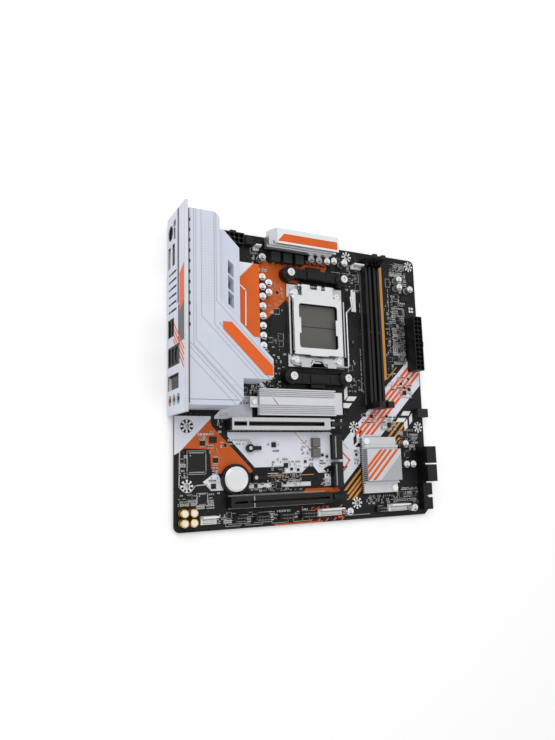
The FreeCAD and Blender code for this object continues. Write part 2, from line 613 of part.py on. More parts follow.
def make_memory_slots():
    end = "memory_start + memory_long"
    pivot_y, pivot_z = f"{end} - latch_in", "latch_up"
    for label, x in (("a", "memory_x"), ("b", "memory_x + memory_pitch")):
        wide = around(x, "memory_wide / 2")
        body = block(f"memory_body_{label}", wide,
                     ("memory_start", f"{end} - cheek_long"), ("0", "memory_high"))
        tower = block(f"memory_tower_{label}", wide,
                      ("memory_start", "memory_start + tower_long"), ("0", "tower_high"))
        yoke = block(f"memory_yoke_{label}", wide, (f"{end} - cheek_long", end),
                     ("0", "cheek_high"))
        groove = around(x, "groove_wide / 2")
        tools = [
            block(f"memory_groove_low_{label}", groove,
                  ("memory_start + 3.4", "memory_key - key_wide / 2"),
                  ("groove_floor", "tower_high - 2")),
            block(f"memory_groove_high_{label}", groove,
                  ("memory_key + key_wide / 2", f"{end} - cheek_long"),
                  ("groove_floor", "memory_high + 1")),
            block(f"memory_fork_{label}", around(x, "memory_wide / 2 - cheek_thick"),
                  (f"{end} - cheek_long", f"{end} + 1"), ("0.6", "cheek_high + 1")),
            axle(f"memory_eye_{label}", (f"{wide[0]} - 1", f"{wide[1]} + 1"), pivot_y, pivot_z,
                 "pivot_dia + fit_gap")]
        node(f"memory_slot_{label}", carve(
            f"memory_cut_{label}", join(f"memory_parts_{label}", [body, tower, yoke]), tools))
        side = [
            (f"{pivot_y} - 1.7", "1.7"), (f"{pivot_y} + 1.5", "1.7"),
            (f"{pivot_y} + 2.2", "cheek_high"), (f"{pivot_y} + latch_lip + 1.2", "latch_tall - 3"),
            (f"{pivot_y} + latch_lip + 1.2", "latch_tall"), (f"{pivot_y} + 0.2", "latch_tall"),
            (f"{pivot_y} - 1.4", "latch_tall - 6.5"), (f"{pivot_y} - 2.4", "latch_tall - 9"),
            (f"{pivot_y} - 2.4", "memory_high"), (f"{pivot_y} - 1.7", "5"),
        ]
        inner = around(x, "memory_wide / 2 - cheek_thick - latch_side_gap")
        lever = prism(f"memory_lever_{label}", "YZ", side, inner)
        pin = axle(f"memory_pin_{label}", wide, pivot_y, pivot_z, "pivot_dia")
        node(f"memory_latch_{label}", join(f"memory_latch_parts_{label}", [lever, pin]))


def make_slot_contacts():
    parts = []
    for label, x in (("a", "memory_x"), ("b", "memory_x + memory_pitch")):
        for side, sign in (("left", "-"), ("right", "+")):
            centre = f"{x} {sign} (groove_wide / 2 - contact_in)"
            parts.append(block(
                f"memory_contact_{label}_{side}", around(centre, "contact_half"),
                ("memory_key + key_wide", "memory_start + memory_long - cheek_long - 2"),
                ("groove_floor", "memory_high - 1.5")))
            parts.append(block(
                f"memory_contact_low_{label}_{side}", around(centre, "contact_half"),
                ("memory_start + tower_long + 1", "memory_key - key_wide"),
                ("groove_floor", "memory_high - 1.5")))
    for label, y in (("main", "slot_y"), ("lower", "slot_y - slot_drop")):
        for side, sign in (("low", "-"), ("high", "+")):
            parts.append(block(
                f"slot_contact_{label}_{side}",
                ("slot_x + slot_key + slot_key_wide + 1", "slot_x + slot_long - slot_end - 2"),
                around(f"{y} {sign} (slot_groove / 2 - contact_in)", "contact_half"),
                ("slot_floor", "slot_high - 2.5")))
    node("slot_contacts", group("contact_all", parts))


# ---------------------------------------------------------------- expansion slots

def make_expansion_slots():
    far = "slot_x + slot_long"
    pivot_x, pivot_z = f"{far} + slot_latch_in", "slot_latch_up"
    for label, y in (("main", "slot_y"), ("lower", "slot_y - slot_drop")):
        wide = around(y, "slot_wide / 2")
        body = block(f"slot_body_{label}", ("slot_x", far), wide, ("0", "slot_high"))
        sole = block(f"slot_sole_{label}", (far, f"{far} + ear_long"),
                     around(y, "ear_in + ear_thick"), ("0", "ear_high"))
        groove = around(y, "slot_groove / 2")
        z = ("slot_floor", "slot_high + 1")
        tools = [
            block(f"slot_groove_short_{label}",
                  ("slot_x + slot_end", "slot_x + slot_key"), groove, z),
            block(f"slot_groove_long_{label}",
                  ("slot_x + slot_key + slot_key_wide", f"{far} - slot_end"), groove, z),
            block(f"slot_fork_{label}", (far, f"{far} + ear_long + 1"), around(y, "ear_in"),
                  ("0.8", "ear_high + 1")),
            axle(f"slot_eye_{label}", pivot_x, (f"{wide[0]} - 1", f"{wide[1]} + 1"), pivot_z,
                 "pivot_dia + fit_gap", "Y")]
        node(f"pcie_slot_{label}",
             carve(f"slot_cut_{label}", join(f"slot_parts_{label}", [body, sole]), tools))
        side = [
            (f"{pivot_x} - slot_latch_foot", "1.4"), (f"{pivot_x} + slot_latch_foot", "1.4"),
            (f"{pivot_x} + 2.4", "slot_latch_high - 3.4"),
            (f"{pivot_x} + slot_latch_reach", "slot_latch_high - slot_latch_pad"),
            (f"{pivot_x} + slot_latch_reach", "slot_latch_high"),
            (f"{pivot_x} + 1", "slot_latch_high"), (f"{pivot_x} - 2.2", "slot_latch_high - 2"),
        ]
        lever = prism(f"slot_lever_{label}", "XZ", side, around(y, "slot_latch_half"))
        pin = axle(f"slot_pin_{label}", pivot_x, around(y, "ear_in + ear_thick"), pivot_z,
                   "pivot_dia", "Y")
        node(f"pcie_latch_{label}", join(f"slot_latch_parts_{label}", [lever, pin]))


def make_armour():
    x = ("slot_x + 1.2", "slot_x + slot_long")
    wide = "armour_wide / 2"
    outer = block("armour_outer", x, around("slot_y", wide), ("armour_skirt", "armour_high"))
    inner = block("armour_inner", (f"{x[0]} - 1", f"{x[1]} + 1"),
                  around("slot_y", f"{wide} - armour_thick"),
                  ("0", "armour_high - armour_thick"))
    mouth = around("slot_y", "armour_mouth / 2")
    z = ("slot_high - 1", "armour_high + 1")
    tools = [
        inner,
        block("armour_mouth_short", ("slot_x + slot_end", "slot_x + slot_key"), mouth, z),
        block("armour_mouth_long", ("slot_x + slot_key + slot_key_wide",
                                    "slot_x + slot_long - slot_end - 3"), mouth, z)]
    parts = [carve("armour_shell", outer, tools)]
    for side, sign in (("low", "-"), ("high", "+")):
        parts.append(block(
            f"armour_prong_{side}", (x[1], f"{x[1]} + prong_long"),
            around(f"slot_y {sign} (prong_in + prong_wide / 2)", "prong_wide / 2"),
            ("armour_high - prong_high", "armour_high")))
    node("pcie_slot_armour", join("armour_parts", parts))


# ---------------------------------------------------------------- cover and power stage

def cover_points(inset="0"):
    """Outline of the rear cover, or of the space inside it."""
    low, high = f"cover_start + {inset}", f"cover_end - {inset}"
    rear = "0 - cover_x" if inset == "0" else "0 - cover_x - 1"
    slant = f"{inset} * 1.41"
    return [
        (rear, low), (f"step_x - cover_cut - {inset} * 0.4", low),
        (f"step_x - {inset}", f"cover_start + cover_cut + {inset} * 0.4"),
        (f"step_x - {inset}", f"step_y + {inset}"),
        (f"neck_x - neck_cut - {inset} * 0.4", f"step_y + {inset}"),
        (f"neck_x - {inset}", f"step_y + neck_cut + {inset} * 0.4"),
        (f"neck_x - {inset}", f"neck_y - {inset} * 0.41"),
        (f"tall_x - {inset}", f"neck_y + neck_x - tall_x - {slant} + {inset}"),
        (f"tall_x - {inset}", high), (rear, high),
    ]


def make_cover():
    outer = prism("cover_outer", "XY", cover_points(), ("cover_low", "cover_top"),
                  [(cover_points()[8])], "cover_round")
    inner = prism("cover_inner", "XY", cover_points("cover_wall"),
                  ("cover_low - 1", "cover_top - cover_wall"))
    arm_room = block("cover_arm_room", ("tall_x", "neck_x + 1"), ("step_y - 1", "cover_end"),
                     ("0", "arm_low"))
    node("io_cover", carve("cover_cut", outer, [inner, arm_room]))
    badge = [
        ("tall_x + 1.8", "neck_y + 26.4"), ("tall_x + 8.6", "neck_y + 26.4"),
        ("neck_x - 0.9", "neck_y - 5.4"), ("neck_x - 0.9", "neck_y - 12.7"),
        ("neck_x - 7.3", "neck_y - 12.7"), ("tall_x + 1.8", "neck_y + 21"),
    ]
    node("cover_badge", prism("badge", "XY", badge, ("cover_top", "cover_top + badge_thick")))


def make_rear_sink():
    left = "tall_x + sink_gap"
    corner = "neck_y + neck_x + sink_gap * 2"
    step_points = [
        (left, f"{corner} - ({left})"), ("rear_sink_x", f"{corner} - rear_sink_x"),
        ("rear_sink_x", "rear_sink_end - rear_sink_cut"),
        ("rear_sink_x - rear_sink_cut", "rear_sink_end"), (left, "rear_sink_end"),
    ]
    ledge_points = [
        ("rear_sink_x", f"{corner} - rear_sink_x"), ("ledge_x", f"{corner} - ledge_x"),
        ("ledge_x", "ledge_end"), ("rear_sink_x", "ledge_end"),
    ]
    high = prism("rear_step", "XY", step_points, ("rear_sink_low", "rear_sink_top"))
    low = prism("rear_ledge", "XY", ledge_points, ("ledge_low", "ledge_top"))
    vents = []
    for index in range(3):
        start = f"vent_start + {index} * vent_pitch"
        right = "vent_x + vent_wide"
        vents.append(prism(f"rear_vent_{index}", "XY", [
            ("vent_x", f"{start} + vent_slant"), (right, start),
            (right, f"{start} + vent_long"), ("vent_x", f"{start} + vent_slant + vent_long"),
        ], ("rear_sink_top - vent_deep", "rear_sink_top + 1")))
    node("vrm_heatsink_rear", carve("rear_sink_cut_out", join("rear_sink", [high, low]), vents))


def make_top_sink():
    back = "board_depth - top_sink_back"
    face = f"{back} - top_sink_deep"
    top, low = "top_sink_top", "top_sink_low"
    side = [
        (f"{face} + 0.6", low), (f"{face} + 3", low), (f"{face} + 3", "top_foot_low"),
        (back, "top_foot_low"), (back, top), (face, top), (face, f"{top} - 2"),
        (f"{face} + 2.6", f"{top} - 2.6"), (f"{face} + 2.6", f"{top} - 4.4"),
        (f"{face} - 0.4", f"{top} - 4.8"), (f"{face} - 0.4", f"{top} - 6.6"),
        (f"{face} + 1.8", f"{top} - 7.6"), (f"{face} + 1.8", f"{top} - 11.4"),
        (f"{face} + 0.6", f"{top} - 12.6"),
    ]
    end = [
        ("top_sink_x + top_slope", "0"), ("top_sink_end", "0"), ("top_sink_end", top),
        ("top_sink_x + top_slope", top), ("top_sink_x", f"{top} - top_slope * 1.8"),
        ("top_sink_x", f"{low} + top_slope * 1.5"), ("top_sink_x + top_slope", low),
    ]
    bar = prism("top_bar", "YZ", side, ("top_sink_x", "top_sink_end"))
    ends = prism("top_ends", "XZ", end, (f"{face} - 2", f"{back} + 1"))
    node("vrm_heatsink_top", shared("top_sink", bar, ends))


def rear_choke_places():
    """List the chokes that stand under the rear heatsink's ledge."""
    return [("ledge_x - choke_in", f"ledge_end - choke_first - {index} * choke_pitch")
            for index in range(6)]


def top_choke_places():
    """List the chokes in front of the top heatsink."""
    return [(f"top_sink_x + top_choke_first + {index} * top_pitch", "board_depth - top_choke_back")
            for index in range(3)]


def make_power_stage():
    chokes, pads, fets = [], [], []
    for index, (x, y) in enumerate(rear_choke_places() + top_choke_places()):
        side = around(x, "choke_side / 2")
        deep = around(y, "choke_side / 2")
        chokes.append(block(f"choke_{index}", side, deep, ("0", "choke_high")))
    fet_x, fet_y = "tall_x + fet_in", "board_depth - top_sink_back - top_fet_back"
    places = [(fet_x, y) for x, y in rear_choke_places()]
    places += [(f"top_sink_x + top_fet_first + {index} * top_pitch", fet_y)
               for index in range(5)]
    for index, (x, y) in enumerate(places):
        fets.append(block(f"fet_{index}", around(x, "fet_side / 2"), around(y, "fet_side / 2"),
                          ("0", "fet_high")))
    column = around("ledge_end - choke_first - 2.5 * choke_pitch",
                    "2.5 * choke_pitch + pad_half")
    pads.append(block("pad_chokes", around("ledge_x - choke_in", "pad_half"), column,
                      ("choke_high", "ledge_low")))
    pads.append(block("pad_fets", around(fet_x, "pad_half - 1"), column,
                      ("fet_high", "rear_sink_low")))
    pads.append(block("pad_top", ("top_sink_x + pad_half * 2", "top_sink_end - 2"),
                      around(fet_y, "pad_half - 1"), ("fet_high", "top_foot_low")))
    node("chokes", group("choke_all", chokes))
    node("mosfets", group("fet_all", fets))
    node("thermal_pads", group("pad_all", pads))


# ---------------------------------------------------------------- capacitors

def can_places():
    """List every power capacitor: the socket's column first, then the rest."""
    column = [("can_x", f"can_start + {index} * can_pitch") for index in range(8)]
    pair = [("can_x + 6", "can_start + 46.1"), ("can_x + 6", "can_start + 54.4")]
    top = [(x, "board_depth - 16.3") for x in ("122.6", "130.5", "138.8")]
    top += [("146.2", "board_depth - 15.2"), ("157.4", "board_depth - 15.5")]
    rest = [
        ("74.6", "board_depth - 20.9"), ("board_width - 28.1", "64.7"),
        ("board_width - 28.1", "46.1"), ("board_width - 20.7", "46.1"), ("152.5", "7.9"),
        ("board_width - 21.8", "7.4"), ("board_width - 25.1", "board_depth - 23.8"),
        ("board_width - 25.1", "board_depth - 31.2"),
        ("board_width - 12.4", "board_depth - 32.1"),
    ]
    return column + pair + top + rest


def can(name, x, y):
    """Make one can on its moulded foot."""
    foot = disc(f"{name}_foot", x, y, "can_foot_dia", ("0", "can_foot"))
    shell = disc(f"{name}_shell", x, y, "can_dia", ("can_foot", "can_high"))
    return join(name, [foot, shell])


def make_capacitors():
    node("capacitor_cans", group("can_all", [
        can(f"can_{index}", x, y) for index, (x, y) in enumerate(can_places())]))
    audio = [(x, y) for x in ("6.2", "13.5") for y in ("7.3", "14.5")]
    node("audio_capacitors", group("audio_can_all", [
        can(f"audio_can_{index}", x, y) for index, (x, y) in enumerate(audio)]))


# ---------------------------------------------------------------- chipset

def make_chipset():
    left = "board_width - chip_x"
    x = (left, f"{left} + chip_wide")
    near, far = "chip_start", "chip_start + chip_long"
    side = [
        (near, "chip_low"), (far, "chip_low"), (far, "chip_base"),
        (f"{far} - 7", "chip_base"), (f"{far} - 7", "chip_step"), (f"{far} - 9.6", "chip_step"),
        (f"{far} - 9.6", "chip_step - 1.4"), (f"{far} - 10.8", "chip_step - 1.4"),
        (f"{far} - 10.8", "chip_top"), (f"{near} + 10.8", "chip_top"),
        (f"{near} + 10.8", "chip_step - 1.4"), (f"{near} + 9.6", "chip_step - 1.4"),
        (f"{near} + 9.6", "chip_step"), (f"{near} + 8.2", "chip_step"),
        (f"{near} + 8.2", "chip_base"), (near, "chip_base"),
    ]
    body = prism("chip_bar", "YZ", side, x)
    ways = [disc(f"chip_way_{index}", px, py, "pin_dia + hole_ease", ("0", "chip_top"))
            for index, (px, py) in enumerate(chip_pin_places())]
    node("chipset_heatsink", carve("chip_sink", body, ways))
    pins = []
    for index, (px, py) in enumerate(chip_pin_places()):
        pins.append(join(f"push_pin_{index}", [
            disc(f"push_head_{index}", px, py, "pin_head_dia",
                 ("chip_base", "chip_base + pin_head_high")),
            disc(f"push_shank_{index}", px, py, "pin_dia", ("0 - board_thick", "chip_base")),
            disc(f"push_foot_{index}", px, py, "pin_foot_dia",
                 ("0 - board_thick - pin_foot_high", "0 - board_thick"))]))
    node("chipset_push_pins", group("push_pin_all", pins))


# ---------------------------------------------------------------- storage

def make_drive_cooling():
    x = ("drive_x", "drive_x + drive_long")
    y = ("drive_start", "drive_start + drive_wide")
    centre = "drive_start + drive_wide / 2"
    slab = block("drive_slab", x, y, ("drive_low", "drive_top"))
    gaps = []
    for index in range(9):
        offset = f"{1 + index % 5} * fin_pitch" if index < 5 else f"{index - 4} * fin_pitch"
        edge = f"{y[0]} + {offset}" if index < 5 else f"{y[1]} - {offset}"
        gaps.append(block(f"drive_gap_{index}", (f"{x[0]} - 1", f"{x[1]} + 1"),
                          around(edge, "fin_gap / 2"), ("drive_top - fin_deep", "drive_top + 1")))
    tab = block("drive_tab", (f"{x[0]} - tab_long", f"{x[0]} + 1"), around(centre, "tab_half"),
                ("drive_low", "drive_low + tab_thick"))
    clip = block("drive_clip", (f"{x[1]} - 1", f"{x[1]} + clip_long"),
                 around(centre, "drive_wide / 2 - 1.4"), ("drive_low", "drive_low + tab_thick"))
    way = disc("drive_way", f"{x[0]} - tab_long / 2", centre, "drive_screw_dia + hole_ease",
               ("0", "drive_top"))
    node("m2_heatsink", carve("drive_sink", join("drive_parts", [
        carve("drive_fins", slab, gaps), tab, clip]), [way]))
    node("m2_pad", block("drive_pad_block", (f"{x[0]} + 2", f"{x[1]} - 2"),
                         (f"{y[0]} + 1", f"{y[1]} - 1"), ("drive_low - drive_pad", "drive_low")))
    top = "drive_low + tab_thick"
    head = disc("drive_head", f"{x[0]} - tab_long / 2", centre, "drive_head_dia",
                (top, f"{top} + drive_head_high"))
    shank = disc("drive_shank", f"{x[0]} - tab_long / 2", centre, "drive_screw_dia",
                 ("standoff_high - 3", top))
    node("m2_heatsink_screw", join("drive_screw", [head, shank]))
    post = disc("drive_post", f"{x[0]} - tab_long / 2", centre, "standoff_dia",
                ("0", "standoff_high"))
    bore = disc("drive_post_bore", f"{x[0]} - tab_long / 2", centre,
                "drive_screw_dia + fit_gap", ("1", "standoff_high + 1"))
    posts = [carve("drive_post_cut", post, [bore])]
    for index, (px, py) in enumerate(hold_places()):
        posts.append(disc(f"hold_post_{index}", px, py, "hold_post_dia",
                          ("0", "hold_post_high")))
    node("m2_standoffs", group("post_all", posts))


def hold_places():
    """List the pivots of the two turning drive catches."""
    return [("hold_x", "m2_upper_y"), ("hold_lower_x", "m2_lower_y")]


def make_drive_sockets():
    sockets = []
    rows = (
        ("cooled", "drive_x + drive_long + 2.2", "drive_start + drive_wide / 2", "m2_high"),
        ("upper", "m2_x", "m2_upper_y", "m2_tall"), ("lower", "m2_x", "m2_lower_y", "m2_tall"))
    for label, x, y, high in rows:
        body = block(f"m2_body_{label}", (x, f"{x} + m2_deep"), around(y, "m2_wide / 2 - 0.3"),
                     ("0", high))
        mouth = block(f"m2_mouth_{label}", (f"{x} - 1", f"{x} + m2_deep - 3"),
                      around(y, "m2_wide / 2 - 1.2"),
                      ("m2_mouth_up", "m2_mouth_up + m2_mouth"))
        sockets.append(carve(f"m2_socket_{label}", body, [mouth]))
    node("m2_sockets", group("m2_socket_all", sockets))
    for label, (x, y) in zip(("upper", "lower"), hold_places()):
        z = ("hold_low", "hold_high")
        knob = disc(f"hold_knob_{label}", x, y, "hold_knob_dia", z)
        tail = block(f"hold_tail_{label}", (x, f"{x} + hold_tail"),
                     around(y, "hold_tail_wide / 2"), ("hold_low + 0.6", "hold_high - 0.8"))
        eye = disc(f"hold_eye_{label}", x, y, "hold_post_dia + hold_gap * 2",
                   ("0", "hold_high + 1"))
        node(f"m2_latch_{label}",
             carve(f"hold_cut_{label}", join(f"hold_parts_{label}", [knob, tail]), [eye]))


# ---------------------------------------------------------------- battery

def make_battery():
    wide = "cell_dia + holder_gap * 2"
    wall = disc("holder_wall", "cell_x", CELL_Y, f"{wide} + holder_wall * 2",
                ("0", "holder_high"))
    room = disc("holder_room", "cell_x", CELL_Y, wide, ("holder_floor", "holder_high + 1"))
    finger = block("holder_finger", around("cell_x", "3"),
                   (f"{CELL_Y} - cell_dia / 2 - holder_wall * 2", CELL_Y),
                   ("holder_floor", "holder_high + 1"))
    node("battery_holder", carve("holder_cut", wall, [room, finger]))
    body = new_body("cell_body", "cell_x", CELL_Y, "cell_low")
    radius, rim = "cell_dia / 2", "0.35"
    side = [
        ("0", "0"), (f"{radius} - 1.4", "0"), (f"{radius} - 1.4", rim), (radius, "0.6"),
        (radius, f"cell_thick - {rim}"), (f"{radius} - {rim}", "cell_thick"),
        ("0", "cell_thick"),
    ]
    turn = body.newObject("PartDesign::Revolution", "cell_turn")
    turn.Profile = outline(body, "XZ", "cell_side", side)
    turn.ReferenceAxis = (turn.Profile[0], ["V_Axis"])
    turn.Angle = 360
    node("coin_cell", body)


# ---------------------------------------------------------------- power connectors

def power_housing(name, x, y, columns, rows, lock):
    """Make a shrouded power housing and return it with its contact pins."""
    wide = f"{columns} * cell_pitch + power_margin * 2"
    deep = f"{rows} * cell_pitch + power_margin * 2"
    shell = block(f"{name}_shell", (x, f"{x} + {wide}"), (y, f"{y} + {deep}"),
                  ("0", "power_high"))
    cavities, pins = [], []
    for column in range(columns):
        for row_index in range(rows):
            cx = f"{x} + power_margin + ({column} + 0.5) * cell_pitch"
            cy = f"{y} + power_margin + ({row_index} + 0.5) * cell_pitch"
            label = f"{name}_{column}_{row_index}"
            cavities.append(block(f"{label}_cavity", around(cx, "cavity_side / 2"),
                                  around(cy, "cavity_side / 2"),
                                  ("power_floor", "power_high + 1")))
            pins.append(block(f"{label}_pin", around(cx, "power_pin / 2"),
                              around(cy, "power_pin / 2"), ("power_floor", "power_pin_high")))
    return join(f"{name}_all", [carve(f"{name}_cut", shell, cavities), block(
        f"{name}_lock", *lock, ("4", "power_high - 2"))]), pins


def make_power_connectors():
    x, y = "board_width - main_power_x", "main_power_y"
    deep = "cell_pitch * 12 + power_margin * 2"
    wide = "cell_pitch * 2 + power_margin * 2"
    main, main_pins = power_housing(
        "main_power", x, y, 2, 12,
        ((f"{x} + {wide}", f"{x} + {wide} + power_lock"), around(f"{y} + ({deep}) / 2", "2.6")))
    node("atx_power_connector", main)
    x, y = "cpu_power_x", "board_depth - cpu_power_y"
    wide = "cell_pitch * 4 + power_margin * 2"
    deep = "cell_pitch * 2 + power_margin * 2"
    cpu, cpu_pins = power_housing(
        "cpu_power", x, y, 4, 2,
        (around(f"{x} + ({wide}) / 2", "2.6"), (f"{y} + {deep}", f"{y} + {deep} + power_lock")))
    node("cpu_power_connector", cpu)
    return main_pins + cpu_pins


# ---------------------------------------------------------------- front and lower edge

def make_sata():
    x = ("board_width - sata_x", "board_width + sata_out")
    stacks = []
    for index in range(2):
        y = f"sata_y + {index} * sata_pitch"
        body = block(f"sata_body_{index}", x, (y, f"{y} + sata_wide"), ("0", "sata_high"))
        tools, tongues = [], []
        for row_index in range(2):
            low = f"sata_first + {row_index} * sata_row"
            middle = f"{y} + sata_wide / 2"
            tools.append(block(
                f"sata_mouth_{index}_{row_index}", (f"{x[1]} - sata_deep", f"{x[1]} + 1"),
                around(middle, "sata_mouth / 2"), (low, f"{low} + sata_mouth_high")))
            tongues.append(block(
                f"sata_tongue_{index}_{row_index}", (f"{x[1]} - sata_deep - 1", f"{x[1]} - 0.6"),
                around(middle, "sata_mouth / 2 - 1"),
                (f"{low} + sata_tongue_up", f"{low} + sata_tongue_up + sata_tongue")))
        stacks.append(join(f"sata_{index}", [
            carve(f"sata_cut_{index}", body, tools)] + tongues))
    node("sata_ports", group("sata_all", stacks))


def make_front_usb():
    x = ("board_width - usb3_x", "board_width + usb3_out")
    y = ("usb3_y", "usb3_y + usb3_long")
    body = block("usb3_body", x, y, ("0", "usb3_high"))
    mouth = block("usb3_mouth", (f"{x[1]} - usb3_deep", f"{x[1]} + 1"),
                  (f"{y[0]} + usb3_wall", f"{y[1]} - usb3_wall"),
                  ("usb3_wall", "usb3_high - usb3_wall"))
    key = block("usb3_key", (f"{x[1]} - usb3_deep", f"{x[1]} + 1"),
                around("usb3_y + usb3_long / 2", "1.1"), ("usb3_high - 3", "usb3_high + 1"))
    node("front_usb3_header", carve("usb3_cut", body, [mouth, key]))
    x = ("board_width - type_c_x", "board_width + type_c_out")
    y = ("type_c_y", "type_c_y + type_c_wide")
    shell = block("type_c_body", x, y, ("0", "type_c_high"))
    mouth = block("type_c_mouth", (f"{x[1]} - 8", f"{x[1]} + 1"),
                  (f"{y[0]} + type_c_wall", f"{y[1]} - type_c_wall"),
                  ("type_c_wall", "type_c_high - type_c_wall"))
    tongue = block("type_c_tongue", (f"{x[1]} - 8.5", f"{x[1]} - 1"),
                   around("type_c_y + type_c_wide / 2", "type_c_wide / 2 - 2"),
                   around("type_c_high / 2", "0.4"))
    node("front_usb_c_header", join("type_c_parts", [
        carve("type_c_cut", shell, [mouth]), tongue]))
    pins = []
    for column in range(9):
        for row_index in range(2):
            cy = f"usb3_y + usb3_long / 2 + ({column} - 4) * usb3_pitch"
            cz = f"usb3_high / 2 + ({row_index} - 0.5) * usb3_pitch"
            pins.append(block(
                f"usb3_pin_{column}_{row_index}",
                ("board_width + usb3_out - usb3_deep", "board_width - 0.8"),
                around(cy, "usb3_pin / 2"), around(cz, "usb3_pin / 2")))
    return pins


BLACK_HEADERS = (("48", 4, 2), ("66", 5, 2), ("88", 5, 2), ("108", 5, 2), ("184", 4, 2))
WHITE_HEADERS = (
    ("audio", "20.6", "header_y - 2.3", 5, 2), ("panel", "124.4", "header_y - 2.3", 9, 2),
    ("system", "197", "header_y - 2.3", 8, 2), ("pump", "169", "board_depth - 17.6", 4, 1),
    ("fan", "69", "board_depth - 13.8", 2, 1))


def pin_grid(name, x, y, columns, rows, z):
    """Make a grid of square pins from its first pin's place."""
    return [
        block(f"{name}_pin_{column}_{row_index}",
              around(f"{x} + ({column} + 0.5) * pin_pitch", "header_pin / 2"),
              around(f"{y} + ({row_index} + 0.5) * pin_pitch", "header_pin / 2"), z)
        for column in range(columns) for row_index in range(rows)]


def make_headers():
    pins, black, white = [], [], []
    z = ("header_foot", "header_pin_high")
    for index, (x, columns, rows) in enumerate(BLACK_HEADERS):
        y = "header_y - pin_pitch"
        black.append(block(
            f"black_header_{index}", (x, f"{x} + {columns} * pin_pitch"),
            (y, f"{y} + {rows} * pin_pitch"), ("0", "header_foot")))
        pins += pin_grid(f"black_{index}", x, y, columns, rows, z)
    for label, x, y, columns, rows in WHITE_HEADERS:
        wide, deep = f"{columns} * pin_pitch", f"{rows} * pin_pitch"
        foot = block(f"white_{label}", (x, f"{x} + {wide}"), (y, f"{y} + {deep}"),
                     ("0", "header_foot"))
        fence = block(f"white_fence_{label}", (x, f"{x} + {wide}"),
                      (f"{y} + {deep}", f"{y} + {deep} + 1.2"), ("0", "header_pin_high"))
        white.append(join(f"white_header_{label}", [foot, fence]))
        pins += pin_grid(f"white_{label}", x, y, columns, rows, z)
    node("pin_headers", group("black_header_all", black))
    node("white_headers", group("white_header_all", white))
    return pins


# each package: name, centre along X and Y, half sizes along X and Y, height
PACKAGES = (
    ("super_io", "18", "52", "7", "7", "1.4"), ("codec", "22.5", "24", "3.5", "3.5", "1"),
    ("hub", "board_width - 20.8", "55", "2.5", "2.5", "1"),
    ("rom", "board_width - 14", "board_depth - 40", "5", "2.6", "1.6"),
    ("choke_a", "124", "66.5", "3.8", "3.8", "3.4"),
    ("choke_b", "124", "57.8", "3.8", "3.8", "3.4"),
    ("chipset", "board_width - chip_x + chip_wide / 2", "chip_start + chip_long / 2",
     "chip_die / 2", "chip_die / 2", "chip_low"),
    ("power_chip", "64", "board_depth - 7.2", "3.6", "3.2", "6"),
    ("bridge", "31.5", "69.5", "3", "2.4", "1.2"),
)


def make_packages():
    parts = [
        block(f"package_{name}", around(x, half_x), around(y, half_y), ("0", high))
        for name, x, y, half_x, half_y, high in PACKAGES]
    house_x = ("switch_x", f"{REAR} + port_deep + switch_leg")
    parts.append(block("switch_house", house_x, around("button_y", "switch_half"),
                       around("button_up", "switch_half")))
    parts.append(block("switch_leg_block", (f"{house_x[1]} - switch_leg", house_x[1]),
                       around("button_y", "switch_half"), ("0", "button_up")))
    fused = join("switch_body", parts[-2:])
    node("ic_packages", group("package_all", parts[:-2] + [fused]))


def make_underside_screws():
    parts = []
    places = [
        ("top_sink_x + 9", "board_depth - 7"), ("top_sink_end - 6", "board_depth - 7"),
        ("rear_sink_x - 5", "rear_sink_end - 18"), ("rear_sink_x - 5", "tall_y"),
        ("step_x - 8", "step_y - 8"), ("neck_x - 8", "step_y + 8"),
        ("tall_x - 8", "cover_end - 6"),
    ]
    for index, (x, y) in enumerate(places):
        parts.append(disc(f"under_head_{index}", x, y, "pin_head_dia",
                          ("0 - board_thick - back_thick", "0 - board_thick")))
    for index, x in enumerate(("20", "board_width - 20")):
        parts.append(disc(f"under_low_{index}", x, "20", "pin_head_dia",
                          ("0 - board_thick - back_thick", "0 - board_thick")))
    node("underside_screws", group("under_all", parts))


# ---------------------------------------------------------------- rear ports

def shell_span():
    """Return the X span of a port that stands through the rear plate."""
    return (f"{REAR} - port_out", f"{REAR} - port_out + port_deep")


def port_windows():
    """List the rear plate's rectangular cut-outs: Y span, then Z span."""
    return {
        "usb": (("usb_y", "usb_y + usb_wide"), ("0.4", "usb_high")),
        "lan": (("lan_y", "lan_y + lan_wide"), ("0.4", "lan_high")),
        "video_low": (("video_y", "video_y + video_wide"),
                      ("video_low", "video_low + video_high")),
        "video_high": (("video_y", "video_y + video_wide"),
                       ("video_second", "video_second + video_high")),
        "port_c": (("port_c_y", "port_c_y + port_c_wide"),
                   ("port_c_low", "port_c_low + port_c_high")),
        "antenna": (around("antenna_y", "antenna_wide / 2"), ("0.3", "0.3 + antenna_high")),
        "button": (around("button_y", "button_side / 2"), around("button_up", "button_side / 2")),
    }


def grow(span, margin):
    """Widen a span by a margin each way."""
    return (f"{span[0]} - {margin}", f"{span[1]} + {margin}")


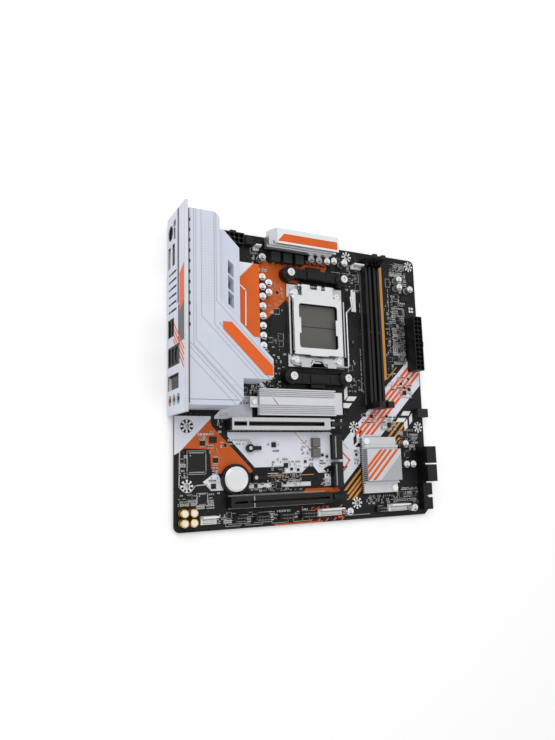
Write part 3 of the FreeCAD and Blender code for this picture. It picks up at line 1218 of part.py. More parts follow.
def make_io_plate():
    x = (f"{REAR} - io_thick", REAR)
    y = ("io_start", "io_start + io_long")
    z = ("0 - io_sink", "io_high - io_sink")
    sheet_metal = block("io_sheet", x, y, z)
    lips = [
        block("io_lip_top", (x[0], f"{x[1]} + io_lip"), y, (f"{z[1]} - io_thick", z[1])),
        block("io_lip_far", (x[0], f"{x[1]} + io_lip"), (f"{y[1]} - io_thick", y[1]),
              ("cover_low", z[1])),
        block("io_lip_near", (x[0], f"{x[1]} + io_lip"), (y[0], f"{y[0]} + io_thick"),
              ("cover_low", z[1]))]
    deep = (f"{x[0]} - 1", f"{x[1]} + 1")
    tools = [
        block(f"io_window_{label}", deep, grow(wy, "port_ease"), grow(wz, "port_ease"))
        for label, (wy, wz) in port_windows().items()]
    tools.append(axle("io_window_keyboard", deep, "keyboard_y", "keyboard_up",
                      "keyboard_dia + port_ease * 2"))
    for index in range(3):
        tools.append(axle(f"io_window_audio_{index}", deep, "audio_y",
                          f"audio_first + {index} * audio_pitch", "audio_dia + port_ease * 2"))
    for index in range(6):
        low = f"usb_y + usb_wide + plate_vent_first + {index} * plate_vent_pitch"
        tools.append(block(f"io_vent_{index}", deep, (low, f"{low} + plate_vent_wide"),
                           ("plate_vent_low", "plate_vent_high")))
    node("io_plate", carve("io_cut", join("io_parts", [sheet_metal] + lips), tools))


def usb_mouth(name, x, y, low):
    """Return the cavity and the tongue of one wide USB socket."""
    middle = f"{y[0]} + ({y[1]} - {y[0]}) / 2"
    cavity = block(f"{name}_mouth", (f"{x[0]} - 1", f"{x[1]} - 2"),
                   around(middle, "usb_mouth_wide / 2"), (low, f"{low} + usb_mouth_high"))
    tongue = block(f"{name}_tongue", (f"{x[0]} + 1.5", f"{x[1]} - 1"),
                   around(middle, "usb_mouth_wide / 2 - 1"),
                   (f"{low} + usb_mouth_high - usb_tongue - 0.6", f"{low} + usb_mouth_high - 0.6"))
    return cavity, tongue


def make_usb_ports():
    windows = port_windows()
    x = shell_span()
    y, z = windows["usb"]
    body = block("usb_body", x, y, z)
    mouths = [usb_mouth(f"usb_{index}", x, y, f"usb_first + {index} * usb_pitch")
              for index in range(2)]
    node("usb_stack", join("usb_parts", [carve("usb_cut", body, [m[0] for m in mouths])]
                           + [m[1] for m in mouths]))
    y, z = windows["lan"]
    body = block("lan_body", x, y, z)
    mouths = [usb_mouth(f"lan_usb_{index}", x, y, f"usb_first + {index} * usb_pitch")
              for index in range(2)]
    socket = block("lan_mouth", (f"{x[0]} - 1", f"{x[0]} + lan_deep"),
                   around("lan_y + lan_wide / 2", "lan_mouth_wide / 2"),
                   ("lan_low", "lan_low + lan_mouth_high"))
    notch = block("lan_notch", (f"{x[0]} - 1", f"{x[0]} + lan_deep"),
                  around("lan_y + lan_wide / 2", "3"),
                  ("lan_low - 1", "lan_low + lan_mouth_high"))
    node("lan_usb_stack", join("lan_parts", [
        carve("lan_cut", body, [m[0] for m in mouths] + [socket, notch])]
        + [m[1] for m in mouths]))


def make_video_ports():
    windows = port_windows()
    x = shell_span()
    parts = []
    for label in ("video_low", "video_high", "port_c"):
        y, z = windows[label]
        body = block(f"{label}_body", x, y, z)
        mouth = block(f"{label}_mouth", (f"{x[0]} - 1", f"{x[1]} - 3"), grow(y, "0 - shell"),
                      grow(z, "0 - shell"))
        tongue = block(f"{label}_tongue", (f"{x[0]} + 1.5", f"{x[1]} - 2"),
                       grow(y, "0 - shell - 1.6"),
                       around(f"{z[0]} + ({z[1]} - ({z[0]})) / 2", "0.5"))
        parts.append(join(f"{label}_port", [carve(f"{label}_cut", body, [mouth]), tongue]))
    riser = block("video_riser", (f"{x[1]} - 4", x[1]), windows["video_low"][0],
                  ("0", windows["video_high"][1][1]))
    stack = join("video_stack", parts[:2] + [riser])
    node("display_ports", group("video_all", [stack, parts[2]]))


def make_round_ports():
    x = shell_span()
    house = block("keyboard_house", (f"{REAR} + house_back", x[1]),
                  around("keyboard_y", "keyboard_side / 2"), ("0", "keyboard_side"))
    face = axle("keyboard_face", (x[0], f"{REAR} + 2"), "keyboard_y", "keyboard_up",
                "keyboard_dia")
    recess = axle("keyboard_recess", (f"{x[0]} - 1", f"{x[0]} + 8"), "keyboard_y",
                  "keyboard_up", "keyboard_dia - 2.6")
    core = axle("keyboard_core", (f"{x[0]} + 1.2", f"{x[0]} + 9"), "keyboard_y",
                "keyboard_up", "keyboard_dia - 4.4")
    node("keyboard_port", join("keyboard_parts", [
        carve("keyboard_cut", join("keyboard_outer", [house, face]), [recess]), core]))
    house = block("audio_house", (f"{REAR} + house_back", x[1]), around("audio_y", "audio_wide / 2"),
                  ("0", "audio_high"))
    faces, bores = [], []
    for index in range(3):
        up = f"audio_first + {index} * audio_pitch"
        faces.append(axle(f"audio_face_{index}", (x[0], f"{REAR} + 1"), "audio_y", up,
                          "audio_dia"))
        bores.append(axle(f"audio_bore_{index}", (f"{x[0]} - 1", f"{x[1]} - 2"), "audio_y", up,
                          "audio_bore_dia"))
    node("audio_jacks", carve("audio_cut", join("audio_outer", [house] + faces), bores))


def make_antenna():
    y, z = port_windows()["antenna"]
    x = (f"{REAR} - port_out", f"{REAR} - port_out + antenna_deep + 2")
    points = rectangle(y, z)
    housing = prism("antenna_body", "YZ", points, x, points, "antenna_wide * 0.35")
    room = prism("antenna_room", "YZ", rectangle(grow(y, "0 - antenna_wall"),
                                                 grow(z, "0 - antenna_wall")),
                 (f"{x[0]} - 1", f"{x[0]} + antenna_deep"))
    node("antenna_socket", carve("antenna_cut", housing, [room]))
    contacts = [
        axle(f"antenna_contact_{index}",
             (f"{x[0]} + antenna_deep - antenna_pin_long", f"{x[0]} + antenna_deep"),
             "antenna_y", f"antenna_high * {share}", "antenna_pin_dia")
        for index, share in enumerate(("0.28", "0.76"))]
    node("antenna_contacts", group("antenna_contact_all", contacts))


def make_flash_button():
    node("flash_button", block(
        "button_cap", (f"{REAR} - io_thick - button_out",
                       f"{REAR} - io_thick - button_out + button_long"),
        grow(around("button_y", "button_side / 2"), "0 - button_ease + 0.2"),
        grow(around("button_up", "button_side / 2"), "0 - button_ease + 0.2")))


# ---------------------------------------------------------------- build and write

def check(items):
    """Refuse a document with a failed object or a sub-part without a good shape."""
    for item in document.Objects:
        if {"Invalid", "Error"} & set(item.State):
            raise ValueError(f"{item.Name} failed: {item.State}")
    for item in items:
        if item.Shape.isNull() or not item.Shape.isValid() or not item.Shape.Solids:
            raise ValueError(f"{item.Label} has no good shape")


def main():
    make_board()
    make_backplate()
    make_socket()
    make_frame()
    make_load_plate()
    make_lever()
    make_socket_screws()
    make_cooler_brackets()
    make_cooler_screws()
    make_memory_slots()
    make_slot_contacts()
    make_expansion_slots()
    make_armour()
    make_cover()
    make_rear_sink()
    make_top_sink()
    make_power_stage()
    make_capacitors()
    make_chipset()
    make_drive_cooling()
    make_drive_sockets()
    make_battery()
    pins = make_power_connectors()
    make_sata()
    pins += make_front_usb()
    pins += make_headers()
    node("connector_pins", group("pin_all", pins))
    make_packages()
    make_underside_screws()
    make_io_plate()
    make_usb_ports()
    make_video_ports()
    make_round_ports()
    make_antenna()
    make_flash_button()
    document.recompute()
    check(NODES)
    os.makedirs("parts", exist_ok=True)
    for item in NODES:
        item.Shape.exportStep(os.path.join("parts", f"{item.Label}.step"))
    print(f"{len(NODES)} sub-parts written")


main()
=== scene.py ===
"""Finishes, printed artwork and small fittings of a micro-size desktop mainboard."""

from __future__ import annotations

import json
import logging
import math
import random
from dataclasses import dataclass
from enum import Enum

import bmesh
import bpy
from mathutils import Matrix, Vector
from mathutils.geometry import tessellate_polygon

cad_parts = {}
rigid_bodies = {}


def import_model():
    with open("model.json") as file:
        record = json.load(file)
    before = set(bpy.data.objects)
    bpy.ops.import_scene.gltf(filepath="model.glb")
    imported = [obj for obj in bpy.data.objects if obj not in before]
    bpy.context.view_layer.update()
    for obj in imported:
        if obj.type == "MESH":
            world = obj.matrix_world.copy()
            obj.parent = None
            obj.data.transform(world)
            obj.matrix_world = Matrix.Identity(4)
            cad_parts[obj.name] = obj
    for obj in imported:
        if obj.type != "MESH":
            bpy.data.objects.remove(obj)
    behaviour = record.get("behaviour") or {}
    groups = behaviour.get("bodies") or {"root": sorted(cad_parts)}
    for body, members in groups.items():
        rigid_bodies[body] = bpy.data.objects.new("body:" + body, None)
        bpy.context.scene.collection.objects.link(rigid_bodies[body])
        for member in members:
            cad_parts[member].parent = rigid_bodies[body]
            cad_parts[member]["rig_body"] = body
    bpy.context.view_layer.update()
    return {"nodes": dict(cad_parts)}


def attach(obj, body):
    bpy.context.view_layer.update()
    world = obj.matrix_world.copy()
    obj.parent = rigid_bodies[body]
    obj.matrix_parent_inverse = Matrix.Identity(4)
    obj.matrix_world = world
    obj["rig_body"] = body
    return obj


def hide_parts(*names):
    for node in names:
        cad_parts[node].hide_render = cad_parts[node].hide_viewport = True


LOG = logging.getLogger("mainboard")
MM = 0.001
DATUM = Vector((10.16, 80.01, -1.6))
TO_ROW = Matrix.Scale(MM, 4) @ Matrix.Translation(-DATUM)
TO_BOARD = TO_ROW.inverted()
BOARD_LOW = -1.6
DIAGONAL = 1.414
CAD_WELD = 0.002
PRINT_WELD = 0.004
FLAT_ANGLE = math.radians(0.6)
SMOOTH_ANGLE = math.radians(24)
FACING = 0.99
FACE_SLACK = 0.03

# Each printed film stands a little higher than the one that it overlaps.
ORANGE_FILM, PALE_FILM, DARK_FILM = 0.035, 0.05, 0.065
ACCENT_FILM, MARK_FILM, LINE_FILM, OUTLINE_FILM = 0.08, 0.1, 0.11, 0.12

Point = tuple[float, float]
Place = tuple[float, float, float]
Colour = tuple[int, int, int]

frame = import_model()


# ------------------------------------------------------------------ node graphs

class Wire:
    """The value of one socket, with the arithmetic that finishes and trees use."""

    def __init__(self, graph: Graph, socket: bpy.types.NodeSocket) -> None:
        """Hold a socket and the graph that it belongs to."""
        self.graph = graph
        self.socket = socket

    def _math(self, operation: str, first: object, second: object = 0.0) -> Wire:
        """Add one Math node and return its value."""
        return self.graph.node("ShaderNodeMath", {"operation": operation},
                               {0: first, 1: second})

    def __add__(self, other: object) -> Wire:
        """Return self + other."""
        return self._math("ADD", self, other)

    __radd__ = __add__

    def __sub__(self, other: object) -> Wire:
        """Return self - other."""
        return self._math("SUBTRACT", self, other)

    def __mul__(self, other: object) -> Wire:
        """Return self * other."""
        return self._math("MULTIPLY", self, other)

    def __truediv__(self, other: object) -> Wire:
        """Return self / other."""
        return self._math("DIVIDE", self, other)

    def __lt__(self, other: object) -> Wire:
        """Return 1 where self is under other."""
        return self._math("LESS_THAN", self, other)

    def __gt__(self, other: object) -> Wire:
        """Return 1 where self is over other."""
        return self._math("GREATER_THAN", self, other)

    def __abs__(self) -> Wire:
        """Return the size of self without its sign."""
        return self._math("ABSOLUTE", self)

    def least(self, other: object) -> Wire:
        """Return the smaller of the two."""
        return self._math("MINIMUM", self, other)

    def most(self, other: object) -> Wire:
        """Return the larger of the two."""
        return self._math("MAXIMUM", self, other)

    def part(self) -> Wire:
        """Return what is left of self after its whole part."""
        return self._math("FRACT", self)


class Graph:
    """A node tree that is filled from expressions."""

    def __init__(self, tree: bpy.types.NodeTree) -> None:
        """Take over an empty tree."""
        self.tree = tree

    @staticmethod
    def pick(sockets: object, key: int | str) -> bpy.types.NodeSocket:
        """Find a socket by its number, or by name among those in use."""
        if isinstance(key, int):
            return sockets[key]
        return next(s for s in sockets if s.name == key and s.enabled and not s.is_unavailable)

    def node(self, kind: str, settings: dict | None = None, sockets: dict | None = None,
             out: int | str = "") -> Wire:
        """Add a node, set it up and join its sockets.

        Args:
            kind: The node's type.
            settings: Its own settings; "stops" fills a colour ramp.
            sockets: Values or wires, by socket number or name.
            out: The output that is wanted; the first one in use if empty.

        Returns:
            The wanted output.
        """
        node = self.tree.nodes.new(kind)
        for key, value in (settings or {}).items():
            if key == "stops":
                ramp = node.color_ramp.elements
                while len(ramp) < len(value):
                    ramp.new(0.5)
                for stop, (spot, colour) in zip(ramp, value):
                    stop.position, stop.color = spot, colour
            else:
                setattr(node, key, value)
        for key, value in (sockets or {}).items():
            socket = self.pick(node.inputs, key)
            if isinstance(value, Wire):
                self.tree.links.new(value.socket, socket)
            else:
                socket.default_value = value
        live = [s for s in node.outputs if s.enabled and not s.is_unavailable]
        found = self.pick(node.outputs, out) if out != "" else (live[0] if live else None)
        return Wire(self, found)

    def vector(self, operation: str, first: object, second: object) -> Wire:
        """Add one Vector Math node and return its vector."""
        return self.node("ShaderNodeVectorMath", {"operation": operation},
                         {0: first, 1: second})


def linear(colour: Colour, share: float = 1.0) -> tuple[float, float, float, float]:
    """Turn a screen colour of 0 to 255 into scene light.

    Args:
        colour: Red, green and blue.
        share: A factor on its brightness.

    Returns:
        The colour with a full alpha.
    """
    parts = []
    for value in colour:
        v = value / 255
        v = v / 12.92 if v <= 0.04045 else ((v + 0.055) / 1.055) ** 2.4
        parts.append(min(1.0, v * share))
    return (*parts, 1.0)


# ------------------------------------------------------------------ finishes

@dataclass(frozen=True)
class Finish:
    """A surface with cloudy colour, fine grain and roughness that follows the grain."""

    name: str
    slot: str
    colour: Colour
    rough: float
    metal: float = 0.0
    coat: float = 0.0
    mottle: float = 0.08
    cloud: float = 130.0
    grain: float = 0.15
    grain_scale: float = 2600.0
    stretch: Place = (1.0, 1.0, 1.0)
    spread: float = 0.12
    depth: float = 0.00012
    shine: float = 0.5

    def material(self) -> bpy.types.Material:
        """Return the finish as a node material, made once."""
        made = bpy.data.materials.get(f"{self.name}_finish")
        return made if made is not None else self.build()

    def build(self) -> bpy.types.Material:
        """Make the node material.

        Returns:
            The finished material.
        """
        material = bpy.data.materials.new(f"{self.name}_finish")
        material.use_nodes = True
        material.node_tree.nodes.clear()
        graph = Graph(material.node_tree)
        place = graph.node("ShaderNodeTexCoord", out="Object")
        cloud = graph.node("ShaderNodeTexNoise", {}, {
            "Vector": place, "Scale": self.cloud, "Detail": 4.0}, "Fac")
        along = graph.vector("MULTIPLY", place, self.stretch)
        grain = graph.node("ShaderNodeTexNoise", {}, {
            "Vector": along, "Scale": self.grain_scale, "Detail": 3.0}, "Fac")
        colour = self.blend(graph, cloud, linear(self.colour, 1 - self.mottle),
                            linear(self.colour, 1 + self.mottle))
        colour, height, rough = self.pattern(graph, place, colour, grain * self.grain)
        rough = rough + (grain - 0.5) * self.spread + (cloud - 0.5) * (self.spread * 0.5)
        normal = graph.node("ShaderNodeBump", {}, {
            "Strength": 0.6, "Distance": self.depth, "Height": height}, "Normal")
        shader = graph.node("ShaderNodeBsdfPrincipled", {}, {
            "Base Color": colour, "Roughness": rough.most(0.04).least(1.0),
            "Metallic": self.metal, "Specular IOR Level": self.shine,
            "Coat Weight": self.coat, "Coat Roughness": 0.15,
            "Normal": normal}, "BSDF")
        graph.node("ShaderNodeOutputMaterial", {}, {"Surface": shader})
        return material

    @staticmethod
    def blend(graph: Graph, share: Wire, low: object, high: object) -> Wire:
        """Mix two colours by a share."""
        return graph.node("ShaderNodeMix", {"data_type": "RGBA"},
                          {"Factor": share, "A": low, "B": high})

    def pattern(self, graph: Graph, place: Wire, colour: Wire,
                height: Wire) -> tuple[Wire, Wire, Wire | float]:
        """Add what a finish has beyond cloud and grain.

        Args:
            graph: The material's graph.
            place: Object coordinates, in metres.
            colour: The clouded colour.
            height: The grain's height.

        Returns:
            Colour, height and base roughness.
        """
        return colour, height, self.rough

    def axes(self, graph: Graph, place: Wire) -> tuple[Wire, Wire, Wire]:
        """Split object coordinates into board places in millimetres."""
        split = graph.node("ShaderNodeSeparateXYZ", {}, {0: place})
        node = split.socket.node
        return tuple(Wire(graph, node.outputs[i]) / MM + DATUM[i] for i in range(3))


@dataclass(frozen=True)
class Laminate(Finish):
    """Solder mask over copper: bundles of fine tracks and small plated holes show through."""

    track: Colour = (58, 58, 62)
    pitch: float = 1.15
    slant: float = 1.41
    track_share: float = 0.28
    via_reach: float = 0.13

    def pattern(self, graph: Graph, place: Wire, colour: Wire,
                height: Wire) -> tuple[Wire, Wire, Wire | float]:
        """Lay tracks in patches that run straight or aslant, and dot them with vias."""
        x, y, _ = self.axes(graph, place)
        patch = graph.node("ShaderNodeTexVoronoi", {"distance": "CHEBYCHEV"}, {
            "Vector": place, "Scale": 62.0}, "Color")
        pick = graph.node("ShaderNodeSeparateColor", {}, {0: patch})
        choice, busy = pick, Wire(graph, pick.socket.node.outputs[1])
        straight = (x / self.pitch).part()
        slant = ((x + y) / (self.pitch * self.slant)).part()
        other = ((x - y) / (self.pitch * self.slant)).part()
        line = (straight < self.track_share) * (choice < 0.4)
        line = line.most((slant < self.track_share) * (choice > 0.4) * (choice < 0.72))
        line = line.most((other < self.track_share) * (choice > 0.72)) * (busy > 0.35)
        dots = graph.node("ShaderNodeTexVoronoi", {"feature": "F1"}, {
            "Vector": place, "Scale": 330.0, "Randomness": 0.9}, "Distance")
        via = (dots < self.via_reach) * (busy < 0.55)
        colour = self.blend(graph, line * 0.55, colour, linear(self.track))
        colour = self.blend(graph, via * 0.6, colour, linear((120, 112, 96)))
        return colour, height + line * 0.5 + via * 0.4, self.rough


@dataclass(frozen=True)
class CoverPaint(Finish):
    """Pale powder paint on the rear cover, with pressed lines and a field of fine dots, both
    darkened as painted shade.
    """

    bends: tuple[Point, ...] = ((2.6, 136.6), (4.4, 140.4), (8.6, 158.6), (20.4, 171.2),
                                (18.9, 152.7))
    slants: tuple[float, ...] = (134.4, 137.8, 128.2)
    # Colour of the painted shade in the pressed lines and the dots.
    line: Colour = (126, 130, 144)
    width: float = 0.62

    def pattern(self, graph: Graph, place: Wire, colour: Wire,
                height: Wire) -> tuple[Wire, Wire, Wire | float]:
        """Sink the lines, which turn aslant near the middle of the cover, and darken them and
        the dots as painted shade.
        """
        x, y, z = self.axes(graph, place)
        groove = None
        for a, b in self.bends:
            spot = (x - a).least((x + y - (a + b)) / DIAGONAL)
            mask = abs(spot) < self.width / 2
            groove = mask if groove is None else groove.most(mask)
        for c in self.slants:
            groove = groove.most(abs((x + y - c) / DIAGONAL) < self.width / 2)
        groove = groove * (z > 39.5)
        dot_x, dot_y = (x / 2.2).part() - 0.5, (y / 2.2).part() - 0.5
        dots = (dot_x * dot_x + dot_y * dot_y) < 0.09
        dots = dots * (x > 9.0) * (x < 19.5) * (y > 168.0) * (y < 234.0) * (z > 39.5)
        # Painted shade: the sunk lines and dots are darkened.
        colour = self.blend(graph, groove * 0.5, colour, linear(self.line))
        colour = self.blend(graph, dots * 0.16, colour, linear(self.line))
        return colour, height - groove * 2.0 - dots * 0.8, self.rough


@dataclass(frozen=True)
class ContactField(Finish):
    """The dark moulded floor of the socket with its dense rows of contact wells."""

    pitch: float = 0.94

    def pattern(self, graph: Graph, place: Wire, colour: Wire,
                height: Wire) -> tuple[Wire, Wire, Wire | float]:
        """Sink a grid of small wells and paint them a darker, warmer colour as painted shade."""
        x, y, _ = self.axes(graph, place)
        dx, dy = (x / self.pitch).part() - 0.5, (y / self.pitch).part() - 0.5
        well = (abs(dx).most(abs(dy))) < 0.3
        # Painted shade: the sunk wells are darkened.
        colour = self.blend(graph, well * 0.5, colour, linear((58, 55, 52)))
        return colour, height - well * 0.8, self.rough


@dataclass(frozen=True)
class Brushed(Finish):
    """Metal with directional polishing lines."""

    metal: float = 1.0
    grain: float = 0.35
    grain_scale: float = 900.0
    stretch: Place = (0.06, 2.5, 1.0)
    spread: float = 0.22
    mottle: float = 0.05
    depth: float = 0.00005


class Kit(Enum):
    """Every finish on the mainboard."""

    LAMINATE = Laminate("solder_mask", "board_laminate", (15, 15, 17), 0.5, shine=0.22)
    PALE_INK = Finish("pale_ink", "board_laminate", (220, 223, 232), 0.55, mottle=0.04,
                      shine=0.3)
    ORANGE_INK = Finish("orange_ink", "board_laminate", (196, 88, 26), 0.5, mottle=0.12,
                        shine=0.25)
    STRIPE_INK = Finish("stripe_ink", "board_laminate", (224, 98, 54), 0.55, mottle=0.06,
                        shine=0.25)
    GOLD_INK = Finish("gold_ink", "board_laminate", (200, 138, 58), 0.4, mottle=0.1)
    DARK_INK = Finish("dark_ink", "board_laminate", (16, 16, 18), 0.5, shine=0.22)
    SILK = Finish("silk_ink", "board_laminate", (226, 226, 226), 0.6, mottle=0.1)
    GREY_SILK = Finish("grey_silk", "board_laminate", (186, 186, 186), 0.6, mottle=0.12)
    COVER = CoverPaint("cover_paint", "cover_paint", (203, 208, 222), 0.42, mottle=0.035,
                       grain=0.25, coat=0.1)
    COVER_LINE = Finish("cover_line", "cover_paint", (128, 132, 146), 0.5)
    COVER_GREY = Finish("cover_grey", "cover_paint", (72, 76, 82), 0.45, mottle=0.06)
    BADGE = Finish("badge_paint", "cover_badge", (222, 94, 28), 0.45, mottle=0.06, shine=0.3)
    SINK_ORANGE = Finish("heatsink_orange", "heatsink_metal", (212, 94, 26), 0.45,
                         mottle=0.14, cloud=40.0, shine=0.25)
    SINK_WHITE = Finish("heatsink_white", "heatsink_metal", (226, 228, 234), 0.4,
                        mottle=0.03)
    SINK_PAINT = Finish("heatsink_paint", "heatsink_metal", (203, 208, 222), 0.42,
                        mottle=0.035, grain=0.25, coat=0.1)
    SINK_SATIN = Finish("heatsink_satin", "heatsink_metal", (206, 207, 212), 0.36,
                        metal=0.35, mottle=0.06, grain=0.5)
    SINK_METAL = Brushed("heatsink_metal", "heatsink_metal", (214, 216, 222), 0.34,
                         metal=0.8)
    SINK_DARK = Brushed("heatsink_dark", "heatsink_metal", (52, 53, 56), 0.5, metal=0.6)
    SINK_SHADE = Brushed("heatsink_shade", "heatsink_metal", (176, 177, 182), 0.4,
                         metal=0.5)
    RED_LINE = Finish("red_line", "heatsink_metal", (176, 42, 38), 0.5)
    PLASTIC = Finish("black_plastic", "black_plastic", (14, 14, 15), 0.45, mottle=0.12,
                     grain=0.5, spread=0.2, shine=0.3)
    SLOT_PLASTIC = Finish("slot_plastic", "black_plastic", (16, 16, 18), 0.36, mottle=0.1,
                          grain=0.35, spread=0.18, shine=0.35)
    SLOT_MARK = Finish("slot_mark", "black_plastic", (176, 176, 180), 0.5)
    PORT_PLASTIC = Finish("port_plastic", "port_plastic", (16, 16, 18), 0.42, mottle=0.1,
                          grain=0.4, shine=0.3)
    RESIN = Finish("package_resin", "package_resin", (24, 24, 26), 0.55, mottle=0.1,
                   grain=0.8, grain_scale=5200, shine=0.3)
    CHOKE = Finish("choke_iron", "package_resin", (46, 46, 48), 0.6, mottle=0.14,
                   grain=1.0, grain_scale=3800, shine=0.3)
    IRON = Finish("pressed_iron", "package_resin", (104, 102, 98), 0.6, mottle=0.14,
                  grain=1.0, grain_scale=3800)
    STEEL = Brushed("bright_steel", "bright_steel", (198, 199, 202), 0.3,
                    stretch=(2.5, 0.06, 1.0))
    POLISHED = Brushed("polished_steel", "bright_steel", (228, 229, 230), 0.24,
                       grain=0.08, spread=0.08)
    PORT_STEEL = Brushed("port_steel", "bright_steel", (60, 61, 64), 0.5)
    BACK_STEEL = Brushed("backplate_steel", "backplate_steel", (66, 67, 70), 0.42,
                         metal=0.8)
    PLATE_STEEL = Brushed("plate_steel", "plate_steel", (206, 208, 212), 0.38, metal=0.75,
                          stretch=(1.0, 0.06, 2.5))
    GOLD = Finish("contact_gold", "contact_metal", (214, 168, 84), 0.3, metal=1.0,
                  mottle=0.08)
    DARK_GOLD = Finish("shaded_gold", "contact_metal", (120, 92, 48), 0.4, metal=1.0,
                       mottle=0.1)
    SPRING = Finish("contact_spring", "contact_metal", (132, 126, 116), 0.42, metal=0.9,
                    mottle=0.12)
    TIN = Finish("tinned_metal", "contact_metal", (218, 218, 216), 0.34, metal=1.0,
                 mottle=0.12)
    CAN = Brushed("can_metal", "can_metal", (234, 235, 238), 0.3, grain_scale=1500,
                  stretch=(1.0, 1.0, 0.1))
    CAN_GOLD = Brushed("can_gold", "can_metal", (226, 186, 104), 0.3,
                       grain_scale=1500, stretch=(1.0, 1.0, 0.1))
    CAN_TOP = Finish("can_top", "can_metal", (242, 238, 228), 0.4, metal=0.3)
    CAN_PRINT = Finish("can_print", "can_metal", (70, 70, 76), 0.5)
    SILICONE = Finish("pad_silicone", "pad_silicone", (132, 142, 150), 0.75, mottle=0.1)
    WHITE_PLASTIC = Finish("white_plastic", "white_plastic", (240, 240, 238), 0.45,
                           mottle=0.05, grain=0.4)
    BUTTON = Finish("button_plastic", "button_plastic", (26, 26, 28), 0.35)
    FIELD = ContactField("contact_field", "black_plastic", (98, 96, 94), 0.55,
                         mottle=0.06)
    CERAMIC = Finish("chip_ceramic", "package_resin", (150, 144, 134), 0.5, mottle=0.2,
                     cloud=500.0)
    RESISTOR = Finish("resistor_glaze", "package_resin", (24, 24, 26), 0.3, mottle=0.2)
    PINK = Finish("jack_pink", "port_plastic", (190, 92, 118), 0.4)
    GREEN = Finish("jack_green", "port_plastic", (110, 158, 118), 0.4)
    BLUE = Finish("jack_blue", "port_plastic", (92, 128, 168), 0.4)
    DEEP_PLASTIC = Finish("deep_plastic", "port_plastic", (6, 6, 7), 0.6, shine=0.1)
    AMBER = Finish("lamp_amber", "port_plastic", (224, 160, 62), 0.35, coat=0.4)
    TONGUE_BLUE = Finish("tongue_blue", "port_plastic", (36, 92, 158), 0.4)
    TONGUE_RED = Finish("tongue_red", "port_plastic", (168, 44, 46), 0.4)


# ------------------------------------------------------------------ meshes

